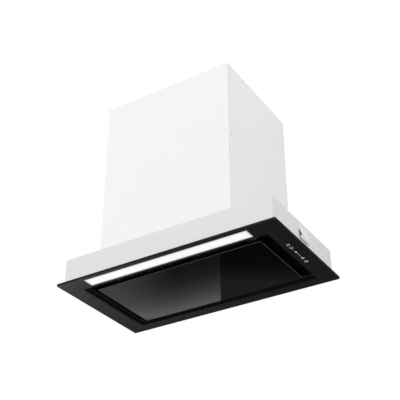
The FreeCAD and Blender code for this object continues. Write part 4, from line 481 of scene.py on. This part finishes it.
def casing_paint(name, low_tone, high_tone):
    """Powder coat on sheet steel: even, with a fine peel and barely cloudy."""
    f = Finish(name)
    peel = f.noise(2.6 * MM)
    cloud = f.noise(160 * MM, 3.0)
    grit = f.noise(0.7 * MM, 1.0)
    f.put("Base Color", f.mixed(cloud * 0.75 + grit * 0.25, low_tone, high_tone))
    f.put("Roughness", 0.44 + cloud * 0.08 + grit * 0.06)
    f.relief(peel, 0.02 * MM)
    return f.material


def turned_steel():
    """Ground steel, with fine tool lines round its axis."""
    f = Finish("pin_steel", metal=1.0)
    tool = f.lines(0.5 * MM, "X", 0.8)
    cloud = f.noise(12 * MM, 3.0)
    f.put("Base Color", f.mixed(tool * 0.4 + cloud * 0.6, (0.46, 0.47, 0.48), (0.66, 0.67, 0.68)))
    f.put("Roughness", 0.2 + cloud * 0.14 + tool * 0.05)
    f.relief(tool, 0.008 * MM)
    return f.material


def plated_steel(name, cool, warm, spangle=None):
    """Zinc plate: a blue to straw bloom, and crystal spangle where the sheet was dipped."""
    f = Finish(name, metal=1.0)
    bloom = f.noise(14 * MM, 3.0)
    tone = f.mixed(bloom.rise(0.3, 0.7), cool, warm)
    rough = bloom * 0.16
    if spangle:
        crystal = f.node("ShaderNodeSeparateColor", None, {0: f.cells(spangle, "Color")})
        tone = f.mixed(crystal * 0.35, tone, (0.86, 0.87, 0.88))
        rough = crystal * 0.2
    f.put("Base Color", tone)
    f.put("Roughness", 0.28 + rough)
    f.relief(f.noise(1.2 * MM), 0.01 * MM)
    return f.material


def spring_leaf():
    """Hardened strip: rolled lines with a blue and straw temper bloom."""
    f = Finish("spring_leaf", metal=1.0)
    rolled = f.noise(0.8 * MM, 2.0, (1.0, 1.0, 0.03))
    temper = f.noise(20 * MM)
    tint = f.mixed(temper.rise(0.35, 0.65), (0.56, 0.60, 0.66), (0.68, 0.64, 0.56))
    f.put("Base Color", f.mixed(rolled * 0.4, tint, (0.8, 0.81, 0.82)))
    f.put("Roughness", 0.24 + rolled * 0.16)
    f.relief(rolled, 0.01 * MM)
    return f.material


def stacked_sheets():
    """Motor iron: thin punched sheets stacked along the shaft, with a brown oxide bloom."""
    f = Finish("stacked_sheets", metal=1.0)
    oxide = f.noise(8 * MM, 3.0)
    f.put("Base Color", f.mixed(oxide, (0.24, 0.22, 0.20), (0.40, 0.39, 0.38)))
    f.put("Roughness", 0.38 + oxide * 0.2)
    f.relief(f.lines(0.5 * MM, "X"), 0.08 * MM)
    return f.material


def sintered(name, dark, light, metal=1.0):
    """Pressed powder: close pores and a dull oiled surface."""
    f = Finish(name, metal=metal)
    pores = f.cells(0.7 * MM)
    oil = f.noise(6 * MM)
    f.put("Base Color", f.mixed(pores * 0.6 + oil * 0.4, dark, light))
    f.put("Roughness", 0.42 + oil * 0.2)
    f.relief(pores, 0.03 * MM)
    return f.material


def soft_rubber():
    """Matt rubber with a fine bloom."""
    f = Finish("soft_rubber")
    bloom = f.noise(3 * MM, 3.0)
    f.put("Base Color", f.mixed(bloom, (0.016, 0.016, 0.016), (0.034, 0.034, 0.033)))
    f.put("Roughness", 0.72 + bloom * 0.14)
    f.relief(f.noise(0.8 * MM), 0.04 * MM)
    return f.material


def lit_sign():
    """Pale screen print that the board behind lights up."""
    f = Finish("lit_sign", Emission_Strength=0.8)
    even = f.noise(2 * MM)
    f.put("Base Color", f.mixed(even, (0.62, 0.63, 0.64), (0.74, 0.75, 0.76)))
    f.put("Emission Color", f.mixed(even, (0.7, 0.72, 0.75), (0.9, 0.92, 0.95)))
    return f.material


FINISHES = {
    "black_steel": satin_black_coat(),
    "black_glass": black_glass(),
    "opal": opal_strip(),
    "aluminium": mill_aluminium(),
    "lamp_board": lamp_board(),
    "green_board": green_board(),
    "black_plastic": moulded("black_plastic", (0.020, 0.020, 0.021), (0.030, 0.030, 0.031)),
    "panel_steel": dipped_steel("panel_steel", (0.011, 0.011, 0.0115), (0.017, 0.017, 0.018)),
    "black_fittings": dipped_steel("black_fittings", (0.010, 0.010, 0.011), (0.021, 0.021, 0.022), 0.4),
    "pin_steel": turned_steel(),
    "magnet": sintered("magnet", (0.03, 0.03, 0.032), (0.055, 0.055, 0.058), 0.0),
    "casing_white": casing_paint("upper_paint", (0.850, 0.853, 0.858), (0.885, 0.888, 0.893)),
    "black_tray": dipped_steel("tray_coat", (0.006, 0.006, 0.0063), (0.010, 0.010, 0.0105), 0.5),
    "spring_steel": spring_leaf(),
    "screw_steel": plated_steel("screw_steel", (0.62, 0.65, 0.69), (0.70, 0.69, 0.64)),
    "grey_plastic": moulded("grey_plastic", (0.10, 0.10, 0.105), (0.135, 0.135, 0.14), 1.1 * MM, 0.46),
    "fan_plastic": moulded("fan_plastic", (0.030, 0.030, 0.032), (0.048, 0.048, 0.05), 0.8 * MM, 0.42),
    "motor_paint": casing_paint("motor_paint", (0.20, 0.205, 0.21), (0.25, 0.255, 0.26)),
    "bronze": sintered("bronze", (0.42, 0.29, 0.13), (0.58, 0.42, 0.21)),
    "lamination": stacked_sheets(),
    "zinc_steel": plated_steel("zinc_steel", (0.60, 0.62, 0.64), (0.68, 0.68, 0.67), 9 * MM),
    "rubber": soft_rubber(),
}
LOWER_PAINT = casing_paint("lower_paint", (0.715, 0.718, 0.722), (0.75, 0.753, 0.757))
FITTING_PAINT = casing_paint("screw_paint", (0.79, 0.793, 0.797), (0.83, 0.833, 0.837))
SIGN_PAINT = lit_sign()
FILTER_METAL = washed_aluminium()
OWN_FINISH = {
    "seat_frame": LOWER_PAINT,
    "body_shell": LOWER_PAINT,
    "deck_plate": LOWER_PAINT,
    "side_clip_right": FITTING_PAINT,
    "side_clip_left": FITTING_PAINT,
    "touch_window": FINISHES["black_steel"],
    "filter_frame": FILTER_METAL,
    "filter_mesh": FILTER_METAL,
}


# CAD nodes

SHARP_CORNER = math.radians(32)


def dress_cad_nodes():
    """Gives every CAD node its slot's finish, or its own."""
    slots = {s["node"]: s["material_slot"] for s in frame["record"]["subparts"]}
    for name, piece in NODES.items():
        finish = OWN_FINISH.get(name, FINISHES[slots[name]])
        piece.data.materials.clear()
        piece.data.materials.append(finish)


def smooth_turns():
    """Shades turned and bent faces of the CAD nodes smooth, and leaves their corners sharp."""
    group = mesh_tree("smooth_turns")
    tree = Tree(group)
    given = tree.node("NodeGroupInput")
    welded = tree.node("GeometryNodeMergeByDistance", None, {"Geometry": given, "Distance": WELD})
    soft = tree.node("GeometryNodeSetShadeSmooth", {"domain": "FACE"},
                     {"Geometry": welded, "Shade Smooth": True})
    corner = tree.node("GeometryNodeInputMeshEdgeAngle") > SHARP_CORNER
    crisp = tree.node("GeometryNodeSetShadeSmooth", {"domain": "EDGE"},
                      {"Geometry": soft, "Selection": corner, "Shade Smooth": False})
    tree.feed(group.nodes.new("NodeGroupOutput").inputs[0], crisp)
    for piece in NODES.values():
        piece.modifiers.new("smooth_turns", "NODES").node_group = group


# Fasteners

ON_RIM = 0.85                # shares of a head's radius: a corner further out is on its rim,
ON_AXIS = 0.2                # and one further in is on the fastener's axis
PLAIN_SHANK = 0.5            # a shank's radius where no corner shows it
OVERLAP = 0.01               # how far a shank's pieces run into each other, as a share of its length


def islands(node):
    """The separate solids of a node, each as its list of corners."""
    mesh = bmesh.new()
    mesh.from_mesh(NODES[node].data)
    bmesh.ops.remove_doubles(mesh, verts=mesh.verts, dist=WELD)
    left = set(mesh.verts)
    found = []
    while left:
        edge = [left.pop()]
        solid = []
        while edge:
            corner = edge.pop()
            solid.append(corner.co.copy())
            near = [e.other_vert(corner) for e in corner.link_edges]
            fresh = [v for v in near if v in left]
            left.difference_update(fresh)
            edge.extend(fresh)
        found.append(solid)
    mesh.free()
    return sorted(found, key=lambda solid: tuple(round(min(c[i] for c in solid), 5) for i in range(3)))


def long_way(size):
    """The axis along which a round solid's size differs from its other two."""
    return max(range(3), key=lambda i: min(abs(size[i] - size[i - 1]), abs(size[i] - size[i - 2])))


def fastener_places(node):
    """A point under each head, with the way it faces, its head's radius and height, and its shank's."""
    points, ways, heads, shanks = [], [], [], []
    for solid in islands(node):
        low = Vector([min(c[i] for c in solid) for i in range(3)])
        high = Vector([max(c[i] for c in solid) for i in range(3)])
        axis = long_way(high - low)
        middle = (low + high) / 2
        away = [c - middle for c in solid]
        spread = [math.sqrt(max(0.0, a.length_squared - a[axis] ** 2)) for a in away]
        radius = max(spread)
        rim = [c[axis] for c, r in zip(solid, spread) if r > radius * ON_RIM]
        shank = [r for r in spread if radius * ON_AXIS < r < radius * ON_RIM]
        core = max(shank) if shank else radius * PLAIN_SHANK
        forward = sum(rim) / len(rim) > middle[axis]
        top, tail = (high, low) if forward else (low, high)
        seat = min(rim) if forward else max(rim)
        way = Vector((0, 0, 0))
        way[axis] = 1.0 if forward else -1.0
        point = middle.copy()
        point[axis] = seat
        points.append(point)
        ways.append(way)
        heads.append((radius, radius, abs(top[axis] - seat)))
        shanks.append((core, core, abs(seat - tail[axis])))
    mesh = bpy.data.meshes.new(node + "_places")
    mesh.from_pydata(points, [], [])
    for name, rows in (("way", ways), ("head", heads), ("shank", shanks)):
        layer = mesh.attributes.new(name, "FLOAT_VECTOR", "POINT")
        for item, row in zip(layer.data, rows):
            item.vector = row
    return mesh


def facing(p, seed):
    """Turns each fastener's axis its own way, and its recess by chance."""
    way = p.node("FunctionNodeAlignRotationToVector", {"axis": "Z"}, {"Vector": p.attribute("way")})
    chance = p.node("FunctionNodeRandomValue", {"data_type": "FLOAT"}, {2: 0.0, 3: math.pi, "Seed": seed}, 1)
    spin = p.node("FunctionNodeAxisAngleToRotation", None, {"Axis": (0, 0, 1), "Angle": chance})
    return p.node("FunctionNodeRotateRotation", {"rotation_space": "LOCAL"}, {0: way, 1: spin})


def dome(p, wall, sides=28, rings=9):
    """A cheese-sided head with a crowned top, one unit in radius and height."""
    crown = 1 - wall
    ball = (crown * crown + 1) / (crown * 2)
    drum = p.node("GeometryNodeMeshCylinder", {"fill_type": "TRIANGLE_FAN"},
                  {"Vertices": sides, "Fill Segments": rings, "Radius": 1.0, "Depth": 1.0})
    drum = p.moved(drum, (0, 0, 0.5))
    x, y, z = p.split(p.node("GeometryNodeInputPosition"))
    top = (ball * ball - x * x - y * y).most(0.0) ** 0.5 + 1 - ball
    return p.node("GeometryNodeSetPosition", None,
                  {"Geometry": drum, "Selection": z > 0.5, "Position": p.vector(x, y, top)})


def set_fasteners(p, node, head, shank):
    """Sets heads and shanks, each one unit long, where a node has its fasteners, and stands for that node."""
    turn = facing(p, p.size["seed"])
    heads = p.at(p.base, head, Rotation=turn, Scale=p.attribute("head"))
    shanks = p.at(p.base, shank, Rotation=turn, Scale=p.attribute("shank"))
    p.piece(p.joined(heads, shanks), "casing", "screw_steel", (node,), fastener_places(node))


def screws(name, node, finish, seed):
    """Pan heads with a cross recess, and threaded shanks, where the CAD has its screws."""
    p = Pattern(name, finish, wall=0.32, recess_width=0.2, recess_length=1.02, recess_depth=0.62, core=0.86,
                core_length=0.8, tip_start=0.9, tip_end=0.35, tip_length=0.25, thread_turns=7.0,
                thread_length=0.74, thread_height=0.14, seed=seed)
    size = p.size
    length = size["core_length"]
    slot = p.vector(size["recess_width"], size["recess_length"], size["recess_depth"] * 2)
    bar = p.moved(p.node("GeometryNodeMeshCube", None, {"Size": slot}), (0, 0, 1.0))
    head = p.cut(dome(p, size["wall"]), bar)
    head = p.cut(head, p.moved(bar, turn=(0, 0, QUARTER_TURN)))
    core = p.moved(p.drum(12, size["core"], length), p.vector(z=OVERLAP - length * 0.5))
    tip = p.node("GeometryNodeMeshCone", None,
                 {"Vertices": 12, "Radius Top": size["tip_end"], "Radius Bottom": size["tip_start"],
                  "Depth": size["tip_length"]})
    tip = p.moved(tip, p.vector(z=OVERLAP * 2 - length), (math.pi, 0, 0))
    helix = p.node("GeometryNodeCurveSpiral", None,
                   {"Resolution": 12, "Rotations": size["thread_turns"], "Start Radius": size["core"],
                    "End Radius": size["core"], "Height": size["thread_length"]})
    thread = p.moved(p.swept(helix, p.ring(4, size["thread_height"])), p.vector(z=OVERLAP * 3 - length))
    set_fasteners(p, node, head, p.joined(core, tip, thread))


def rivets(name, node, finish):
    """Blind rivets: a low dome with the hollow that its pulled mandrel leaves."""
    p = Pattern(name, finish, wall=0.18, hollow=0.3, hollow_depth=0.5, core=0.72, core_length=0.5,
                bulb_place=-0.7, bulb_height=0.3, seed=4)
    size = p.size
    off_the_facets = (0, 0, 0.1)
    hole = p.moved(p.drum(16, size["hollow"], size["hollow_depth"] * 2), (0, 0, 1.0), off_the_facets)
    head = p.cut(dome(p, size["wall"]), hole)
    core = p.moved(p.drum(16, size["core"], size["core_length"]), p.vector(z=size["core_length"] * -0.5))
    bulb = p.moved(p.ball(16, 10, 1.0), p.vector(z=size["bulb_place"]),
                   scale=p.vector(1.0, 1.0, size["bulb_height"]))
    set_fasteners(p, node, head, p.joined(core, bulb))


# Filter

def filter_layers():
    """Stacked layers of stretched aluminium sheet, which catch the grease."""
    low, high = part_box("filter_mesh")
    middle = (low + high) / 2
    size = high - low
    p = Pattern("filter_layers", FILTER_METAL, long_step=4.6 * MM, short_pitch=5.2 * MM, strand=0.75 * MM,
                gauge=0.45 * MM, layers=3)
    long_step, pitch, gauge = [p.size[name] for name in ("long_step", "short_pitch", "gauge")]
    clear = 0.8 * MM
    steps = (size.x / long_step).whole()
    rows = ((size.y - clear) / pitch).whole()
    strand = p.swept(p.zigzag(steps, long_step, pitch, gauge), p.flat(gauge, p.size["strand"]))
    seats = p.row(rows, p.vector(0.0, (rows - 1) * pitch * -0.5), p.vector(0.0, pitch))
    flip = p.node("FunctionNodeAxisAngleToRotation", None, {"Axis": (1, 0, 0), "Angle": p.odd() * math.pi})
    layer = p.at(seats, strand, Rotation=flip)
    gap = size.z * 0.3
    stack = p.row(p.size["layers"], (0, 0, -gap), (0, 0, gap))
    stack = p.shifted(stack, p.vector(p.odd() * long_step * 0.5))
    p.piece(p.moved(p.at(stack, layer), tuple(middle)), "casing", "aluminium", ("filter_mesh",))


def waved_spring():
    """The leaf that pushes the filter's bolt out, bent to and fro. How far the bolt's travel would close it
    up is worked out, but nothing uses it.
    """
    low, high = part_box("latch_spring")
    middle = (low + high) / 2
    size = high - low
    p = Pattern("waved_spring", FINISHES["spring_steel"], waves=4, leaf=0.6 * MM, bend=0.4 * MM)
    leaf = p.size["leaf"]
    bends = p.size["waves"] * 2
    path = p.zigzag(bends, (size.x - leaf) / bends, size.y - leaf)
    path = p.node("GeometryNodeFilletCurve", {"mode": "POLY"},
                  {"Curve": path, "Count": 6, "Radius": p.size["bend"], "Limit Radius": True})
    path = p.node("GeometryNodeSetCurveNormal", {"mode": "Z_UP"}, {"Curve": path})
    leaves = p.moved(p.swept(path, p.flat(leaf, size.z)), tuple(middle))
    made = p.piece(leaves, "casing", "spring_steel", ("latch_spring",))
    slide = [j for j in frame["record"]["behaviour"]["joints"] if j["name"] == "latch_slide"][0]
    1 - slide["range_m"][1] / size.y
    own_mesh(made)


# Touch signs

SIGN_X = 235 * MM
SIGN_PLACES = {"power": -42.5 * MM, "lamp": -27.5 * MM, "fan": 20.5 * MM, "clock": 36.5 * MM}
SIGN_PRESSED = 0.16          # how far the round strokes are pressed flat
DOT_PRESSED = 0.2


def touch_signs():
    """Five printed signs, drawn as thin strokes on the touch window. Places in a sign are in rings."""
    p = Pattern("touch_signs", SIGN_PAINT, ring=3.3 * MM, stroke=0.23 * MM, track_stroke=0.18 * MM,
                dot=1.55 * MM, track_start=-16.5 * MM, track_end=11.0 * MM, track_mark=-8.5 * MM)
    size = p.size

    def place(x, y):
        return p.vector(size["ring"] * x, size["ring"] * y)

    def arc(radius, start, sweep, middle=(0, 0)):
        made = p.node("GeometryNodeCurveArc", {"mode": "RADIUS"},
                      {"Resolution": 28, "Radius": size["ring"] * radius, "Start Angle": math.radians(start),
                       "Sweep Angle": math.radians(sweep)})
        return p.moved(made, place(*middle))

    def line(start, end):
        return p.node("GeometryNodeCurvePrimitiveLine", None, {"Start": start, "End": end})

    def stroke(start, end):
        return line(place(*start), place(*end))

    blade = arc(0.5, 0.0, 340.0, (0.66, 0))
    drawn = {
        "power": p.joined(arc(1.0, -60.0, 300.0), stroke((0, -0.2), (0, -1.1))),
        "lamp": p.joined(arc(0.92, 122.0, 296.0, (0, -0.3)), stroke((-0.46, 0.7), (0.46, 0.7)),
                         stroke((-0.32, 1.12), (0.32, 1.12))),
        "fan": p.joined(*[p.moved(blade, turn=(0, 0, math.radians(a))) for a in (30, 150, 270)]),
        "clock": p.joined(arc(1.0, 0.0, 359.0), stroke((0, 0), (0, -0.62)), stroke((0, 0), (0.5, 0))),
    }
    signs = p.joined(*[p.moved(drawn[name], (0, y, 0)) for name, y in SIGN_PLACES.items()])
    track = line(p.vector(0.0, size["track_start"]), p.vector(0.0, size["track_end"]))
    dot = p.moved(p.ball(20, 10, size["dot"]), p.vector(0.0, size["track_mark"]), scale=(1, 1, DOT_PRESSED))
    signs = p.swept(signs, p.ring(8, size["stroke"]))
    track = p.swept(track, p.ring(8, size["track_stroke"]))
    printed = p.moved(p.joined(signs, track, dot), scale=(1, 1, SIGN_PRESSED))
    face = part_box("touch_window")[0].z
    p.piece(p.moved(printed, (SIGN_X, 0, face)), "casing", "opal")


# Camera and light

LENS_MM = 82.04
CAMERA_AT = Vector((0.9084, -1.4389, -0.8735))
CAMERA_BACK = Vector((0.4491, -0.7169, -0.5333))
PART_MIDDLE = Vector((0, 0, 0.2))
FILL = 0.76                  # strength of the even light from all round


def add_to_scene(name, data):
    made = bpy.data.objects.new(name, data)
    bpy.context.scene.collection.objects.link(made)
    return made


def camera():
    """The picture's camera, below the part and to its front right."""
    lens = bpy.data.cameras.new("studio_camera")
    lens.lens = LENS_MM
    lens.sensor_width = 36.0
    lens.clip_end = 50.0
    made = add_to_scene("studio_camera", lens)
    made.location = CAMERA_AT
    made.rotation_euler = (-CAMERA_BACK).to_track_quat("-Z", "Y").to_euler()
    bpy.context.scene.camera = made


def shown_rays(tree):
    """1 where the eye, a reflection or glass sees a thing, 0 where it only lights others."""
    seen = tree.node("ShaderNodeLightPath").socket.node.outputs
    shown = Signal(tree, seen["Is Camera Ray"]).most(Signal(tree, seen["Is Glossy Ray"]))
    return shown.most(Signal(tree, seen["Is Transmission Ray"]))


def surroundings():
    """White to the eye and in reflections, and a plain even fill on everything else."""
    world = bpy.data.worlds.new("studio")
    bpy.context.scene.world = world
    world.use_nodes = True
    tree = Tree(world.node_tree)
    sky = world.node_tree.nodes["Background"].inputs
    tree.feed(sky["Color"], WHITE)
    tree.feed(sky["Strength"], shown_rays(tree) * (1 - FILL) + FILL)


def soft_lamp(name, place, size, watts):
    """A square soft box aimed at the middle of the part."""
    lamp = bpy.data.lights.new(name, "AREA")
    lamp.size = size
    lamp.energy = watts
    made = add_to_scene(name, lamp)
    made.location = place
    made.rotation_euler = (PART_MIDDLE - made.location).to_track_quat("-Z", "Y").to_euler()
    made.visible_glossy = False


# Floor and cards

FLOOR_Z = -3.2
FLOOR_REACH = 30.0
FLOOR_FADE = (2.5, 11.0)     # distances from the middle over which the floor turns white

DARK_LEVEL = 0.05            # of the sheet and flags, and of the card where it isn't lit
SHEET_REACH = 6.0
FLAG_AWAY = 3.0
FLAG_RISE = 1.6
FLAG_HALF = 1.7

CARD_ALONG = Vector((0.8474, 0.5311, 0.0))
CARD_BEHIND = Vector((-1.062, 1.695, 0.0))
CARD_HALF = 2.6
CARD_TOP = 0.3
CARD_FOOT = -1.6
CARD_SPLIT = 0.099           # lit to the left of here, nearly dark to the right
BAND_LEAN = 0.3              # the lit band climbs towards the left
BAND_FOOT, BAND_RISE, BAND_LEVEL = -1.16, 0.24, 0.7
BAND_TOP = (-0.862, -0.822)
SHEEN_END, SHEEN_LEVEL = (-0.45, -0.08), 0.4
PATCH_END, PATCH_TOP, PATCH_LEVEL = (-0.75, -0.5), (-1.15, -0.95), 1.4
GLEAM_FOOT, GLEAM_RISE, GLEAM_LEVEL = -1.206, 0.176, 0.09


def plane(name, corners, material):
    """A flat stage piece with four corners."""
    mesh = bpy.data.meshes.new(name)
    mesh.from_pydata(corners, [], [(0, 1, 2, 3)])
    mesh.materials.append(material)
    made = add_to_scene(name, mesh)
    return made


def flag(name, corners, material):
    """A stage piece that only reflections see."""
    made = plane(name, corners, material)
    made.visible_camera = False
    made.visible_diffuse = False
    made.visible_shadow = False
    made.visible_transmission = False


def level_square(reach, z):
    return [(-reach, -reach, z), (reach, -reach, z), (reach, reach, z), (-reach, reach, z)]


def floor():
    """A pale floor that runs out into the white background."""
    f = Finish("pale_floor", rough=0.7, Specular_IOR_Level=0.0)
    x, y, _ = f.axes()
    f.put("Base Color", f.mixed(f.noise(0.4), (0.86, 0.86, 0.86), (0.88, 0.88, 0.88)))
    far = ((x * x + y * y) ** 0.5).rise(*FLOOR_FADE)
    paint = Signal(f, f.shader.outputs[0])
    f.surface(f.node("ShaderNodeMixShader", None, {0: far * shown_rays(f), 1: paint, 2: f.glow(1.0)}))
    plane("floor", level_square(FLOOR_REACH, FLOOR_Z), f.material)


def swell(height, foot, rise):
    """0 up to a foot, then faster and faster up to 1."""
    return ((height - foot) / rise).most(0.0).least(1.0) ** 3.0


def card():
    """A standing card that only gloss sees: a lit band on its left, nearly dark to the right."""
    f = Finish("studio_card")
    x, y, z = f.axes()
    along = x * CARD_ALONG.x + y * CARD_ALONG.y
    band = swell(z + along * BAND_LEAN, BAND_FOOT, BAND_RISE) * BAND_LEVEL
    sheen = (1 - along.rise(*SHEEN_END)) * SHEEN_LEVEL
    patch = (1 - along.rise(*PATCH_END)) * (1 - z.rise(*PATCH_TOP)) * PATCH_LEVEL
    lit = (band + sheen + DARK_LEVEL) * (1 - z.rise(*BAND_TOP)) + patch
    gleam = swell(z, GLEAM_FOOT, GLEAM_RISE) * GLEAM_LEVEL
    on_left = along < CARD_SPLIT
    f.surface(f.glow(lit * on_left + gleam * (1 - on_left)))
    left = CARD_BEHIND - CARD_ALONG * CARD_HALF
    right = CARD_BEHIND + CARD_ALONG * CARD_HALF
    foot = [(end.x, end.y, CARD_FOOT) for end in (left, right)]
    top = [(end.x, end.y, CARD_TOP) for end in (right, left)]
    flag("studio_card", foot + top, f.material)


def dark_sheet():
    """A level dark sheet that only gloss sees, so that the black face under the hood stays black."""
    f = Finish("studio_dark_sheet")
    f.surface(f.glow(DARK_LEVEL))
    flag("studio_dark_sheet", level_square(SHEET_REACH, CARD_FOOT), f.material)


def edge_flags():
    """Two dark cards, high at the front left and the back right, which keep the fascia's folds black."""
    f = Finish("studio_flag")
    f.surface(f.glow(DARK_LEVEL))
    level = Vector((CAMERA_BACK.x, CAMERA_BACK.y, 0)).normalized()
    front_left = Vector((-level.x, level.y, 0))
    up = Vector((0, 0, FLAG_HALF))
    for name, side in (("front_flag", front_left), ("back_flag", -front_left)):
        middle = side * FLAG_AWAY + Vector((0, 0, FLAG_RISE))
        across = side.cross(Vector((0, 0, 1))) * FLAG_HALF
        corners = [middle - across - up, middle + across - up, middle + across + up, middle - across + up]
        flag(name, corners, f.material)


# Making

dress_cad_nodes()
smooth_turns()
screws("casing_screw_heads", "casing_screws", FITTING_PAINT, 11)
screws("fascia_screw_heads", "fascia_screws", FINISHES["black_fittings"], 12)
screws("motor_screw_heads", "motor_screws", FINISHES["screw_steel"], 13)
rivets("clip_rivet_heads", "clip_rivets", FITTING_PAINT)
filter_layers()
waved_spring()
touch_signs()

camera()
surroundings()
soft_lamp("front_soft_box", place=(-1.2, -3.0, 1.0), size=2.2, watts=37.0)
soft_lamp("right_soft_box", place=(3.0, -0.8, 0.8), size=2.0, watts=24.0)
floor()
card()
dark_sheet()
edge_flags()

bpy.context.scene.view_settings.view_transform = "Standard"
